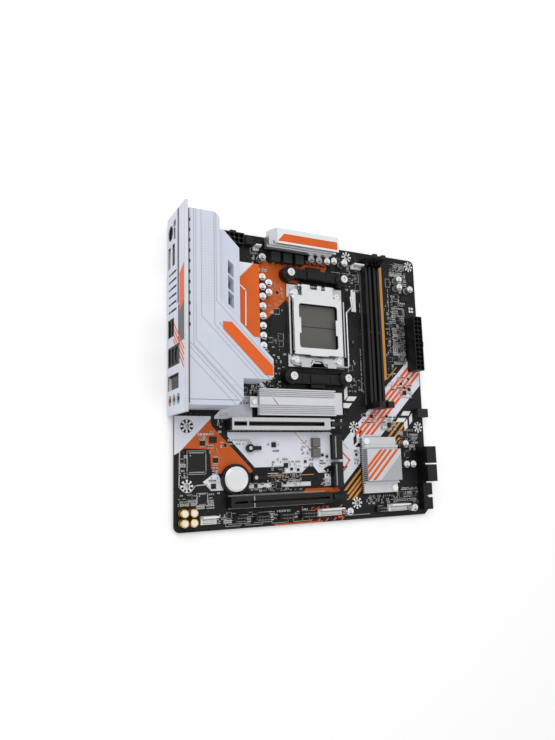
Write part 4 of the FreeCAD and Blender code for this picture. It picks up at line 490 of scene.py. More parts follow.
class Shape:
    """A mesh under construction, in board places in millimetres."""

    def __init__(self) -> None:
        """Start with nothing."""
        self.mesh = bmesh.new()

    @classmethod
    def of_node(cls, node: str, flat: bool = True) -> Shape:
        """Copy a CAD node with its seams closed.

        Args:
            node: The node's name.
            flat: Merge the triangles of each flat face.

        Returns:
            The copy.
        """
        shape = cls()
        shape.mesh.from_mesh(frame["nodes"][node].data)
        bmesh.ops.transform(shape.mesh, matrix=TO_BOARD, verts=shape.mesh.verts)
        bmesh.ops.remove_doubles(shape.mesh, verts=shape.mesh.verts, dist=CAD_WELD)
        if flat:
            bmesh.ops.dissolve_limit(
                shape.mesh, angle_limit=FLAT_ANGLE, verts=shape.mesh.verts,
                edges=shape.mesh.edges)
        return shape

    def box(self, low: Place, high: Place) -> Shape:
        """Add a box between two corners."""
        centre = (Vector(low) + Vector(high)) / 2
        size = Vector(high) - Vector(low)
        matrix = Matrix.Translation(centre) @ Matrix.Diagonal((*size, 1.0))
        bmesh.ops.create_cube(self.mesh, size=1.0, matrix=matrix)
        return self

    def prism(self, outline: list[Point], low: float, high: float,
              turn: Matrix | None = None) -> Shape:
        """Add an upright prism, or one laid over by a turn.

        Args:
            outline: Corners, counter-clockwise seen from above.
            low: Height of its underside.
            high: Height of its top.
            turn: A matrix that carries it to its place.

        Returns:
            This shape.
        """
        under = [self.mesh.verts.new((x, y, low)) for x, y in outline]
        over = [self.mesh.verts.new((x, y, high)) for x, y in outline]
        faces = [self.mesh.faces.new(under[::-1]), self.mesh.faces.new(over)]
        for i in range(len(outline)):
            k = (i + 1) % len(outline)
            faces.append(self.mesh.faces.new((under[i], under[k], over[k], over[i])))
        if turn is not None:
            bmesh.ops.transform(self.mesh, matrix=turn, verts=under + over)
        bmesh.ops.recalc_face_normals(self.mesh, faces=faces)
        return self

    def lathe(self, profile: list[Point], centre: Place, steps: int = 24,
              turn: Matrix | None = None) -> Shape:
        """Add a turned solid from radius and height pairs.

        Args:
            profile: Pairs from the lower pole or rim to the upper one.
            centre: Where the axis meets height 0.
            steps: Facets around.
            turn: A turn of the axis about the centre.

        Returns:
            This shape.
        """
        matrix = Matrix.Translation(centre) @ (turn or Matrix.Identity(4))
        rings = []
        for radius, height in profile:
            count = 1 if radius == 0 else steps
            rings.append([self.mesh.verts.new(matrix @ Vector((
                radius * math.cos(math.tau * i / steps),
                radius * math.sin(math.tau * i / steps), height))) for i in range(count)])
        faces = []
        for lower, upper in zip(rings, rings[1:]):
            for i in range(steps):
                k = (i + 1) % steps
                corners = [lower[i % len(lower)], lower[k % len(lower)],
                           upper[k % len(upper)], upper[i % len(upper)]]
                unique = list(dict.fromkeys(corners))
                if len(unique) > 2:
                    faces.append(self.mesh.faces.new(unique))
        for ring in (rings[0], rings[-1]):
            if len(ring) > 1 and profile[0] != profile[-1]:
                faces.append(self.mesh.faces.new(ring))
        bmesh.ops.recalc_face_normals(self.mesh, faces=faces)
        return self

    def add(self, mesh: bpy.types.Mesh) -> Shape:
        """Add a mesh that is already in board places."""
        self.mesh.from_mesh(mesh)
        return self

    def bevel(self, width: float, steps: int = 2, angle: float = 35.0) -> Shape:
        """Break the edges that are sharper than an angle."""
        limit = math.radians(angle)
        edges = [e for e in self.mesh.edges
                 if len(e.link_faces) == 2 and e.calc_face_angle(0.0) > limit]
        bmesh.ops.bevel(self.mesh, geom=edges, offset=width, offset_type="OFFSET",
                        segments=steps, profile=0.6, affect="EDGES", clamp_overlap=False)
        return self

    def round(self, width: float, low: Place, high: Place, steps: int = 4) -> Shape:
        """Round the upright edges inside a box.

        Args:
            width: The radius.
            low: Low corner of the box.
            high: High corner of the box.
            steps: Facets across each round.

        Returns:
            This shape.
        """
        edges = []
        for edge in self.mesh.edges:
            a, b = edge.verts[0].co, edge.verts[1].co
            upright = (a - b).xy.length < 0.01 and (a - b).length > 0.2
            inside = all(low[i] <= v[i] <= high[i] for v in (a, b) for i in range(3))
            if upright and inside and len(edge.link_faces) == 2 \
                    and edge.calc_face_angle(0.0) > 0.8:
                edges.append(edge)
        bmesh.ops.bevel(self.mesh, geom=edges, offset=width, offset_type="OFFSET",
                        segments=steps, profile=0.5, affect="EDGES", clamp_overlap=True)
        return self

    def data(self, name: str) -> bpy.types.Mesh:
        """Return the shape as a mesh that is still in board places."""
        mesh = bpy.data.meshes.new(name)
        self.mesh.to_mesh(mesh)
        return mesh

    def piece(self, name: str, kit: Kit, body: str = "board",
              replaces: tuple[str, ...] = ()) -> bpy.types.Object:
        """Finish the shape as a piece of the object.

        Args:
            name: The piece's name.
            kit: Its finish.
            body: The CAD body that it rides on.
            replaces: CAD nodes that it stands for.

        Returns:
            The new object.
        """
        bmesh.ops.transform(self.mesh, matrix=TO_ROW, verts=self.mesh.verts)
        mesh = self.data(name)
        self.mesh.free()
        for face in mesh.polygons:
            face.use_smooth = True
            face.material_index = 0
        mesh.set_sharp_from_angle(angle=SMOOTH_ANGLE)
        mesh.materials.clear()
        mesh.materials.append(kit.value.material())
        item = bpy.data.objects.new(name, mesh)
        bpy.context.scene.collection.objects.link(item)
        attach(item, body)
        if replaces:
            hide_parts(*replaces)
        LOG.info("%s: %d faces", name, len(mesh.polygons))
        return item


def body_of(node: str) -> str:
    """Return the body that a CAD node rides on."""
    return frame["nodes"][node]["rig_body"]


def dress(node: str, kit: Kit) -> None:
    """Give a CAD node that keeps its own mesh a finish."""
    mesh = frame["nodes"][node].data
    material = kit.value.material()
    if not mesh.materials:
        mesh.materials.append(material)
    for i in range(len(mesh.materials)):
        mesh.materials[i] = material
    LOG.info("%s keeps its CAD mesh", node)


def soften(node: str, kit: Kit, width: float = 0.12, steps: int = 2) -> bpy.types.Object:
    """Stand a copy with broken edges in for a CAD node.

    Args:
        node: The CAD node.
        kit: The copy's finish.
        width: How far the edges are broken, in millimetres.
        steps: Facets across each broken edge.

    Returns:
        The copy.
    """
    shape = Shape.of_node(node).bevel(width, steps)
    return shape.piece(f"{node}_shape", kit, body_of(node), (node,))


def solids(node: str) -> list[tuple[Vector, Vector]]:
    """List the low and high corners of each separate solid of a CAD node.

    Args:
        node: The CAD node.

    Returns:
        Corner pairs in board places, sorted by place.
    """
    shape = Shape.of_node(node, flat=False)
    left, found = set(shape.mesh.verts), []
    while left:
        stack, island = [left.pop()], []
        while stack:
            vert = stack.pop()
            island.append(vert.co.copy())
            for edge in vert.link_edges:
                other = edge.other_vert(vert)
                if other in left:
                    left.discard(other)
                    stack.append(other)
        low = Vector(tuple(min(v[i] for v in island) for i in range(3)))
        high = Vector(tuple(max(v[i] for v in island) for i in range(3)))
        found.append((low, high))
    shape.mesh.free()
    return sorted(found, key=lambda pair: tuple(round(v, 2) for v in pair[0]))


def rect(x0: float, y0: float, x1: float, y1: float) -> list[Point]:
    """Outline a rectangle from its low corner to its high one."""
    return [(x0, y0), (x1, y0), (x1, y1), (x0, y1)]


def stroke(points: list[Point], width: float) -> list[list[Point]]:
    """Draw a line of a given width as one four-sided outline per run."""
    found = []
    for (ax, ay), (bx, by) in zip(points, points[1:]):
        run = Vector((bx - ax, by - ay)).normalized() * (width / 2)
        side = Vector((-run.y, run.x))
        found.append([(ax - run.x - side.x, ay - run.y - side.y),
                      (bx + run.x - side.x, by + run.y - side.y),
                      (bx + run.x + side.x, by + run.y + side.y),
                      (ax - run.x + side.x, ay - run.y + side.y)])
    return found


def slant_bar(offset: float, width: float, low: float, high: float) -> list[Point]:
    """Outline a bar along y = x + offset between two heights, with level ends."""
    reach = width / DIAGONAL
    return [(low - offset + reach, low), (high - offset + reach, high),
            (high - offset - reach, high), (low - offset - reach, low)]


def circle(x: float, y: float, radius: float, count: int = 20) -> list[Point]:
    """Outline a circle."""
    return [(x + radius * math.cos(math.tau * i / count),
             y + radius * math.sin(math.tau * i / count)) for i in range(count)]


class Side(Enum):
    """The way a printed face looks: its normal's axis and sign, and the axes across it."""

    UP = (2, 1, 0, 1)
    REAR = (0, -1, 1, 2)


class Print:
    """Printed shapes cut from a node's own flat face, so that every hole in it stays open."""

    def __init__(self, node: str, side: Side, level: float) -> None:
        """Gather the triangles of one flat face.

        Args:
            node: The CAD node that is printed on.
            side: Which way the face looks.
            level: Its board place along that axis.
        """
        self.axis, self.sign, self.u, self.v = side.value
        self.base = Shape.of_node(node, flat=False).mesh
        gone = [f for f in self.base.faces
                if f.normal[self.axis] * self.sign < FACING
                or abs(f.calc_center_median()[self.axis] - level) > FACE_SLACK]
        bmesh.ops.delete(self.base, geom=gone, context="FACES")
        if not self.base.faces:
            raise ValueError(f"{node} has no flat face at {level}")

    def _clip(self, corners: list[Point]) -> bmesh.types.BMesh:
        """Keep what lies inside one convex outline."""
        work = self.base.copy()
        low = [min(c[i] for c in corners) for i in (0, 1)]
        high = [max(c[i] for c in corners) for i in (0, 1)]
        away = []
        for face in work.faces:
            for i, axis in enumerate((self.u, self.v)):
                values = [v.co[axis] for v in face.verts]
                if max(values) < low[i] or min(values) > high[i]:
                    away.append(face)
                    break
        bmesh.ops.delete(work, geom=away, context="FACES")
        area = sum(a[0] * b[1] - b[0] * a[1]
                   for a, b in zip(corners, corners[1:] + corners[:1]))
        turn = 1 if area > 0 else -1
        for a, b in zip(corners, corners[1:] + corners[:1]):
            spot, out = Vector((0, 0, 0)), Vector((0, 0, 0))
            spot[self.u], spot[self.v] = a
            out[self.u], out[self.v] = (b[1] - a[1]) * turn, (a[0] - b[0]) * turn
            if out.length < 1e-6:
                continue
            bmesh.ops.bisect_plane(
                work, geom=work.verts[:] + work.edges[:] + work.faces[:], dist=1e-5,
                plane_co=spot, plane_no=out.normalized(), clear_outer=True)
        return work

    def shape(self, outlines: list[list[Point]], high: float, low: float = 0.0) -> Shape:
        """Cut outlines and give them thickness.

        Args:
            outlines: Outlines across the face; they may be hollow-sided.
            high: How far the print's face stands off.
            low: How far its underside stands off.

        Returns:
            The printed shape.
        """
        result = Shape()
        for outline in outlines:
            triangles = tessellate_polygon([[Vector((*p, 0.0)) for p in outline]])
            for triangle in triangles:
                work = self._clip([outline[i] for i in triangle])
                mesh = bpy.data.meshes.new("cut")
                work.to_mesh(mesh)
                work.free()
                result.mesh.from_mesh(mesh)
                bpy.data.meshes.remove(mesh)
        bm = result.mesh
        bmesh.ops.remove_doubles(bm, verts=bm.verts, dist=PRINT_WELD)
        bmesh.ops.dissolve_limit(bm, angle_limit=0.01, verts=bm.verts, edges=bm.edges)
        out = Vector((0, 0, 0))
        out[self.axis] = self.sign
        bmesh.ops.translate(bm, vec=out * low, verts=bm.verts)
        for face in bm.faces:
            if face.normal[self.axis] * self.sign < 0:
                face.normal_flip()
        under = bm.faces[:]
        made = bmesh.ops.extrude_face_region(bm, geom=under)["geom"]
        moved = [v for v in made if isinstance(v, bmesh.types.BMVert)]
        bmesh.ops.translate(bm, vec=out * (high - low), verts=moved)
        bmesh.ops.recalc_face_normals(bm, faces=bm.faces)
        return result


# ------------------------------------------------------------------ repeated parts

class Repeater:
    """Geometry Nodes trees that repeat a small part in rows or at marked places."""

    def __init__(self) -> None:
        """Build the two trees."""
        self.rows, self.row_keys = self._tree("part_rows", rows=True)
        self.spots, self.spot_keys = self._tree("part_spots", rows=False)

    @staticmethod
    def _tree(name: str, rows: bool) -> tuple[bpy.types.NodeTree, dict[str, str]]:
        """Build one tree with named inputs.

        Args:
            name: The tree's name.
            rows: Repeat over a grid; otherwise over the carrier's own points.

        Returns:
            The tree, and each input's identifier by its name.
        """
        tree = bpy.data.node_groups.new(name, "GeometryNodeTree")
        new = tree.interface.new_socket
        keys = {}
        wanted = [("Geometry", "NodeSocketGeometry"), ("Part", "NodeSocketObject"),
                  ("Finish", "NodeSocketMaterial")]
        if rows:
            wanted += [("Columns", "NodeSocketInt"), ("Rows", "NodeSocketInt"),
                       ("Pitch X", "NodeSocketFloat"), ("Pitch Y", "NodeSocketFloat"),
                       ("Start", "NodeSocketVector"), ("Share", "NodeSocketFloat"),
                       ("Seed", "NodeSocketInt"), ("Turn", "NodeSocketFloat")]
        for label, kind in wanted:
            keys[label] = new(name=label, in_out="INPUT", socket_type=kind).identifier
        new(name="Geometry", in_out="OUTPUT", socket_type="NodeSocketGeometry")
        graph = Graph(tree)
        entry = graph.node("NodeGroupInput").socket.node

        def given(label: str) -> Wire:
            return Wire(graph, entry.outputs[label])

        part = graph.node("GeometryNodeObjectInfo", {}, {"Object": given("Part")}, "Geometry")
        if rows:
            columns, lines = given("Columns"), given("Rows")
            wide, deep = (columns - 1) * given("Pitch X"), (lines - 1) * given("Pitch Y")
            grid = graph.node("GeometryNodeMeshGrid", {}, {
                "Size X": wide, "Size Y": deep, "Vertices X": columns,
                "Vertices Y": lines}, "Mesh")
            half = graph.node("ShaderNodeCombineXYZ", {}, {0: wide / 2, 1: deep / 2})
            points = graph.node("GeometryNodeSetPosition", {}, {
                "Geometry": grid, "Offset": graph.vector("ADD", half, given("Start"))})
            chance = graph.node("FunctionNodeRandomValue", {"data_type": "BOOLEAN"}, {
                "Probability": given("Share"), "Seed": given("Seed")})
            turn = graph.node("ShaderNodeCombineXYZ", {}, {2: given("Turn")})
            placed = graph.node("GeometryNodeInstanceOnPoints", {}, {
                "Points": points, "Selection": chance, "Instance": part, "Rotation": turn})
        else:
            turn = graph.node("GeometryNodeInputNamedAttribute", {"data_type": "FLOAT"},
                              {"Name": "turn"})
            turn = graph.node("ShaderNodeCombineXYZ", {}, {2: turn})
            size = graph.node("GeometryNodeInputNamedAttribute",
                              {"data_type": "FLOAT_VECTOR"}, {"Name": "size"})
            placed = graph.node("GeometryNodeInstanceOnPoints", {}, {
                "Points": given("Geometry"), "Instance": part, "Rotation": turn,
                "Scale": size})
        real = graph.node("GeometryNodeRealizeInstances", {}, {"Geometry": placed})
        done = graph.node("GeometryNodeSetMaterial", {}, {
            "Geometry": real, "Material": given("Finish")})
        graph.node("NodeGroupOutput", {}, {"Geometry": done})
        return tree, keys

    @staticmethod
    def _run(carrier: bpy.types.Mesh, tree: bpy.types.NodeTree,
             values: dict[str, object]) -> bpy.types.Mesh:
        """Run a tree on a carrier mesh and return the plain result."""
        host = bpy.data.objects.new("carrier", carrier)
        bpy.context.scene.collection.objects.link(host)
        modifier = host.modifiers.new("repeat", "NODES")
        modifier.node_group = tree
        for key, value in values.items():
            modifier[key] = value
        graph = bpy.context.evaluated_depsgraph_get()
        mesh = bpy.data.meshes.new_from_object(host.evaluated_get(graph))
        host.modifiers.remove(modifier)
        bpy.data.objects.remove(host)
        return mesh

    @staticmethod
    def _part(part: Shape) -> bpy.types.Object:
        """Stand a part at the origin as an object that a tree can repeat."""
        item = bpy.data.objects.new("pattern_part", part.data("pattern_part"))
        item.hide_render = True
        bpy.context.scene.collection.objects.link(item)
        return item

    def grid(self, part: Shape, kit: Kit, start: Place, count: tuple[int, int],
             pitch: Point, share: float = 1.0, seed: int = 1,
             turn: float = 0.0) -> bpy.types.Mesh:
        """Repeat a part over a grid.

        Args:
            part: The part, about its own origin.
            kit: Its finish.
            start: Board place of the first one.
            count: How many along X and Y.
            pitch: Steps along X and Y.
            share: The share of places that are filled.
            seed: Seed of the choice.
            turn: Turn of each part about Z, in degrees.

        Returns:
            The repeated parts as one mesh.
        """
        item, k = self._part(part), self.row_keys
        mesh = self._run(bpy.data.meshes.new("empty"), self.rows, {
            k["Part"]: item, k["Finish"]: kit.value.material(), k["Columns"]: count[0],
            k["Rows"]: count[1], k["Pitch X"]: float(pitch[0]), k["Pitch Y"]: float(pitch[1]),
            k["Start"]: [float(v) for v in start], k["Share"]: float(share),
            k["Seed"]: seed, k["Turn"]: math.radians(turn)})
        bpy.data.objects.remove(item)
        return mesh

    def scatter(self, part: Shape, kit: Kit,
                spots: list[tuple[Place, float, Place]]) -> bpy.types.Mesh:
        """Repeat a part at given places.

        Args:
            part: The part, about its own origin.
            kit: Its finish.
            spots: Board place, turn in degrees and size factors of each.

        Returns:
            The repeated parts as one mesh.
        """
        carrier = bpy.data.meshes.new("spots")
        carrier.from_pydata([spot[0] for spot in spots], [], [])
        turn = carrier.attributes.new("turn", "FLOAT", "POINT")
        turn.data.foreach_set("value", [math.radians(spot[1]) for spot in spots])
        size = carrier.attributes.new("size", "FLOAT_VECTOR", "POINT")
        size.data.foreach_set("vector", [v for spot in spots for v in spot[2]])
        item, k = self._part(part), self.spot_keys
        mesh = self._run(carrier, self.spots, {
            k["Part"]: item, k["Finish"]: kit.value.material()})
        bpy.data.objects.remove(item)
        return mesh

    def strew(self, part: Shape, kit: Kit, spots: list[tuple[Place, float, Place]],
              name: str, replaces: tuple[str, ...] = ()) -> None:
        """Repeat a part at given places and finish the result as one piece."""
        Shape().add(self.scatter(part, kit, spots)).piece(name, kit, replaces=replaces)


REPEAT = Repeater()


# ------------------------------------------------------------------ sub-assemblies

@dataclass
class Artwork:
    """Outlines printed on the laminate, all in board places."""

    orange: tuple = (
        ((4, 60), (8, 63), (29, 62), (30, 47), (34, 43.5), (38, 43), (60, 43.5), (64, 43),
         (65.5, 44), (64.5, 46), (31, 80), (29.5, 85)),
        ((75.3, 171), (81, 171), (94, 184), (100.5, 190.5), (100.5, 222), (75.3, 222)),
        ((100.5, 206), (112, 206), (118, 216), (140, 216), (144, 228), (100.5, 228)),
        ((110, 24), (114, 28.2), (146, 28.2), (148, 25.5), (146, 24.5)),
        rect(84, 0.2, 130, 1.3),
        rect(109.6, 2, 110.5, 14))
    pale: tuple = (
        ((0.2, 58), (4, 60), (30, 86), (30, 88), (0.2, 88)),
        ((33, 88), (33, 86), (66, 86), (66, 105), (50, 105), (44, 99)),
        ((71, 118.5), (76, 111), (80.5, 111), (74, 118.5)),
        ((44, 75.5), (44, 72), (73, 41), (151, 41), (151, 65), (140, 75.5)),
        ((23, 37), (26, 34), (30, 30), (40, 30), (39, 36), (36, 42), (32, 43)),
        rect(62, 30.5, 82, 34),
        rect(92, 30.5, 119, 34),
        rect(133, 30, 139, 40),
        ((151, 33), (153, 31), (170, 48), (172, 62), (175, 71.4), (170, 84),
         (152.7, 66.8), (151, 65)),
        ((175, 71.4), (193.6, 71.4), (229, 106.8), (243, 120), (243, 156.5),
         (216, 129.5), (200.9, 115.9), (180, 93.6), (170, 84)))
    dark: tuple = (
        ((73, 41), (79, 41), (79, 47), (66, 47)),
        rect(79, 42, 95, 47),
        rect(79, 35, 110, 41.5),
        ((110, 41), (127, 41), (122, 47), (117, 47)),
        ((131.8, 44), (139, 38), (140, 46.8), (137, 46.8)),
        ((164.1, 70.5), (164.1, 63.6), (167.5, 66.8), (167.5, 74.5)),
        ((170, 76.8), (170.7, 70.5), (173.4, 73.2), (173.4, 80.5)),
        ((165.5, 62.3), (172.7, 62.3), (172.7, 65.5), (169.1, 65.9)),
        ((151, 45.9), (151, 40), (157.3, 46)))
    marks: tuple = (
        ((156.4, 113.2), (156.4, 103.6), (159.8, 106.8), (159.8, 116.8)),
        ((160.9, 107.3), (157.7, 103.2), (166.4, 103.2), (170, 107.3)),
        ((155, 101.2), (155, 96.8), (160.5, 96.8), (164.5, 101.2)),
        ((221.4, 95), (218.2, 90.9), (227.3, 90.9), (230, 95)),
        ((215, 88.6), (211.8, 84.8), (220.9, 84.8), (224.5, 88.6)),
        ((231.4, 93.2), (227.7, 89.1), (227.7, 82.3), (231.4, 85.9)),
        ((225.5, 87.7), (221.4, 84.1), (221.8, 76.8), (225.5, 79.5)),
        rect(168.2, 185.9, 173.2, 206.4),
        rect(235.2, 191.2, 237.2, 193.2),
        rect(238.2, 191.2, 240.2, 193.2),
        rect(235.2, 194.2, 237.2, 196.2),
        rect(238.2, 194.2, 240.2, 196.2))
    stripes: tuple = (93.6, 99.1, 105.0, 110.5)
    gold: tuple = ((128, 25, 44.5), (134, 19, 38.5), (138.5, 17, 34), (144, 17, 28.5),
                   (127, 76, 85), (132, 71, 85), (139, 64, 83), (145, 62, 77))
    trace: tuple = ((4.5, 60), (4, 34), (8, 30), (13, 29.5), (17, 34.5), (26, 35), (29, 32))
    chevron: tuple = ((151.4, 58.2), (159, 51), (151.4, 41.8))
    gold_line: tuple = ((204.5, 124.5), (216, 136))
    star: float = 5.4
    ring: Point = (1.95, 2.7)
    ring_steps: int = 12
    ray_count: int = 8
    ray_span: Point = (2.9, 5.0)
    ray_half: Point = (0.45, 1.0)
    holes: tuple = ((10.16, 80.01), (165.1, 80.01), (237.49, 80.01), (10.16, 34.29),
                    (165.1, 13.97), (10.16, 214.63), (165.1, 237.49), (237.49, 237.49))
    dashes: tuple = ((42, 6.2, 8), (42, 11.6, 8), (53.4, 10, 15), (70, 11.2, 12),
                     (44, 3.4, 18), (66, 3.4, 16), (147.7, 221, 10), (160, 221, 9),
                     (113.5, 9.8, 8), (128, 9.8, 10), (142, 9.8, 9), (152, 3.6, 26),
                     (187, 9.8, 6), (198, 9.8, 16), (214, 118, 8), (205, 128.6, 6))
    frames: tuple = ((215, 186, 221, 192), (222.5, 186, 228.5, 192), (214.6, 168, 219, 172),
                     (214.6, 162, 219, 166), (214.6, 156, 219, 160), (214.6, 150, 219, 154),
                     (208.6, 214, 213.6, 222), (222, 214, 228, 220), (10.4, 43, 25.6, 61),
                     (18, 19.4, 27, 28.6), (41.6, 2.2, 54.4, 8.4), (58.6, 2.2, 73.6, 8.4),
                     (81.6, 2.2, 96.6, 8.4), (101.6, 2.2, 116.6, 8.4), (67, 227.6, 72, 232.6))
    columns: tuple = ((177.2, 186, 8), (177.2, 214, 10), (161.6, 120, 46),
                      (210.4, 150, 62), (214.2, 150, 40), (175.6, 112, 40))


class Board:
    """The laminate with its printed artwork."""

    def __init__(self, art: Artwork) -> None:
        """Keep the artwork."""
        self.art = art
        self.top = Print("pcb", Side.UP, 0.0)

    def build(self) -> None:
        """Finish the laminate and print on it."""
        art = self.art
        dress("pcb", Kit.LAMINATE)
        self.top.shape(list(art.orange), ORANGE_FILM).piece("print_orange", Kit.ORANGE_INK)
        self.top.shape(list(art.pale), PALE_FILM).piece("print_pale", Kit.PALE_INK)
        stars = [circle(x, y, art.star) for x, y in art.holes]
        self.top.shape([*art.dark, *stars], DARK_FILM).piece("print_dark", Kit.DARK_INK)
        bars = [slant_bar(-c, 2.6, 73, min(140.0, 243 - c)) for c in art.stripes]
        marks = [rect(124, 11, 127, 13),
                 rect(133, 11, 136, 13),
                 rect(145, 2.4, 150, 4)]
        self.top.shape([*bars, *stroke(list(art.chevron), 1.4)], ACCENT_FILM).piece(
            "print_stripes", Kit.STRIPE_INK)
        marks += [slant_bar(-c, 1.1, low, high) for c, low, high in (
            (108, 8.6, 13), (112, 8.6, 13), (118, 9, 13.4), (136, 9, 13.4), (116, 0.4, 3),
            (124, 0.4, 3), (132, 0.4, 3), (140, 0.4, 3), (148, 0.4, 3))]
        self.top.shape(marks, ACCENT_FILM).piece("print_ticks", Kit.STRIPE_INK)
        gold = [slant_bar(-c, 2.0, low, high) for c, low, high in art.gold]
        gold += [[(201.1, 122), (204.5, 125.4), (204.5, 236), (201.1, 236)]]
        gold += stroke(list(art.gold_line), 0.8)
        gold += stroke([(105, 75), (112, 68), (120, 60)], 0.7)
        gold += stroke([(79, 39.8), (94, 39.8)], 0.6) + stroke([(108, 39.8), (122, 39.8)], 0.6)
        self.top.shape(gold, ACCENT_FILM).piece("print_gold", Kit.GOLD_INK)
        silk = [*art.marks, *self.rays(), *self.rings()]
        self.top.shape(silk, MARK_FILM).piece("print_marks", Kit.SILK)
        lines = [*stroke(list(art.trace), 0.8), *stroke([(152.7, 65.5), (157.7, 60.9)], 1.2)]
        for sides in art.frames:
            corners = rect(*sides)
            lines += stroke([*corners, corners[0]], 0.3)
        lines += self.dashes()
        self.top.shape(lines, LINE_FILM).piece("print_lines", Kit.GREY_SILK)

    def rings(self) -> list[list[Point]]:
        """Outline the pale rims of the mounting holes."""
        found = []
        for x, y in self.art.holes:
            inner, outer = (circle(x, y, r, self.art.ring_steps) for r in self.art.ring)
            for i in range(self.art.ring_steps):
                k = (i + 1) % self.art.ring_steps
                found.append([inner[i], outer[i], outer[k], inner[k]])
        return found

    def rays(self) -> list[list[Point]]:
        """Outline the white rays around each mounting hole."""
        found = []
        near, far = self.art.ray_span
        narrow, broad = self.art.ray_half
        for x, y in self.art.holes:
            for i in range(self.art.ray_count):
                a = math.tau * i / self.art.ray_count
                tip = Vector((math.cos(a), math.sin(a)))
                side = Vector((-tip.y, tip.x))
                centre = Vector((x, y))
                found.append([tuple(centre + tip * near - side * narrow),
                              tuple(centre + tip * far - side * broad),
                              tuple(centre + tip * far + side * broad),
                              tuple(centre + tip * near + side * narrow)])
        return found

    def dashes(self) -> list[list[Point]]:
        """Outline rows and columns of short silk dashes that mark out the fittings."""
        rng, found = random.Random(5), []
        for x, y, length in self.art.dashes:
            done = 0.0
            while done < length:
                run = rng.choice((0.5, 0.8, 1.2))
                found.append(rect(x + done, y, x + done + run, y + 0.55))
                done += run + 0.4
        for x, y, length in self.art.columns:
            done = 0.0
            while done < length:
                run = rng.choice((0.5, 0.9, 1.4))
                found.append(rect(x, y + done, x + 0.6, y + done + run))
                done += run + rng.choice((0.4, 0.4, 1.6))
        return found


@dataclass
class Cover:
    """The painted rear cover, its badge bar, and the plate behind it."""

    plate_face: float = -4.8
    cover_top: float = 40.0
    bars: tuple = ((157, 14), (152.5, 14), (148, 14), (143.5, 14))

    def build(self) -> None:
        """Finish the cover, badge and plate."""
        soften("io_cover", Kit.COVER, 0.45, 3)
        soften("cover_badge", Kit.BADGE, 0.1)
        soften("io_plate", Kit.PLATE_STEEL, 0.08, 1)
        face = Print("io_plate", Side.REAR, self.plate_face)
        pale = [rect(88, -1.5, 245.4, 42)]
        face.shape(pale, 0.06).piece("plate_paint", Kit.COVER)
        grey = [[(140, 26), (168, 26), (174, 40.5), (140, 40.5)],
                rect(170, 24.4, 245, 28.6)]
        face.shape(grey, 0.09).piece("plate_grey", Kit.COVER_GREY)
        orange = [[(163, 29.6), (192, 29.6), (198, 40.5), (169, 40.5)]]
        orange += [[(y, z), (y + 2.4, z), (y - 22.6, z + 26), (y - 25, z + 26)]
                   for y, z in self.bars]
        face.shape(orange, 0.12).piece("plate_orange", Kit.BADGE)
        top = Print("io_cover", Side.UP, self.cover_top)
        seam = [rect(-1.4, 94, -0.5, 240)]
        seam += [rect(-1.4, y, 0.2, y + 2.6)
                 for y in range(150, 238, 8)]
        top.shape(seam, 0.06).piece("cover_seam", Kit.COVER_GREY)
        rule = stroke([(-0.4, 96.8), (36.4, 96.8)], 0.5)
        rule += stroke([(22.6, 154.4), (66.9, 110.1)], 0.5)
        top.shape(rule, 0.05).piece("cover_rules", Kit.COVER_LINE)
        # Painted shade: a dark strip, toothed along its top, fills the gap between the plate and
        # the cover, where the gap lies in shadow.
        strip = Shape().box((-3.7, 95.0, 6.0), (-2.1, 239.0, 38.4))
        for i in range(12):
            y = 98.0 + 12.2 * i
            strip.box((-3.9, y, 30.0), (-1.9, y + 4.0, 39.2))
        strip.piece("plate_gasket", Kit.PORT_PLASTIC)


@dataclass
class PowerStage:
    """Heatsinks, chokes, switches and pads around the processor."""

    ledge: float = 16.0
    vent_floor: float = 24.0
    top: float = 27.0

    def build(self) -> None:
        """Finish the heatsinks and what is under them."""
        soften("vrm_heatsink_rear", Kit.SINK_PAINT, 0.3)
        soften("vrm_heatsink_top", Kit.SINK_METAL, 0.2)
        ledge = Print("vrm_heatsink_rear", Side.UP, self.ledge)
        ledge.shape([[(49.8, 152), (49.8, 199.9), (62.4, 212.9), (67.3, 212.9),
                      (67.3, 151)]], 0.06).piece("ledge_orange", Kit.SINK_ORANGE)
        lines = [[(49.8, 200.8), (49.8, 212.9), (61.4, 212.9)],
                 *stroke([(49.9, 193.6), (55.1, 189.3), (54.6, 160.2)], 1.0)]
        ledge.shape(lines, 0.1).piece("ledge_white", Kit.SINK_WHITE)
        # Painted shade: a dark slab on the floor of the vents darkens their inside.
        well = Print("vrm_heatsink_rear", Side.UP, self.vent_floor)
        well.shape([rect(32, 166, 39, 206)], 0.1).piece(
            "vent_floors", Kit.SINK_DARK)
        top = Print("vrm_heatsink_top", Side.UP, self.top)
        top.shape([rect(75.5, 229.6, 139.5, 242.9)],
                  0.04).piece("top_sink_white", Kit.SINK_WHITE)
        top.shape([[(80, 231.4), (138, 231.4), (138, 238.4), (86, 238.4)]], 0.06).piece(
            "top_sink_orange", Kit.SINK_ORANGE)
        for node, kit, width in (("chokes", Kit.CHOKE, 0.5), ("mosfets", Kit.RESIN, 0.1),
                                 ("thermal_pads", Kit.SILICONE, 0.1)):
            soften(node, kit, width)
        ends = []
        for low, high in solids("chokes"):
            x, y = (low.x + high.x) / 2, (low.y + high.y) / 2
            ends += [((x, low.y, 0.0), 0.0, (1, 1, 1)), ((x, high.y, 0.0), 0.0, (1, 1, 1))]
        tab = Shape().box((-1.4, -0.35, 0), (1.4, 0.35, 2.4)).bevel(0.1, 1)
        REPEAT.strew(tab, Kit.TIN, ends, "choke_tabs")


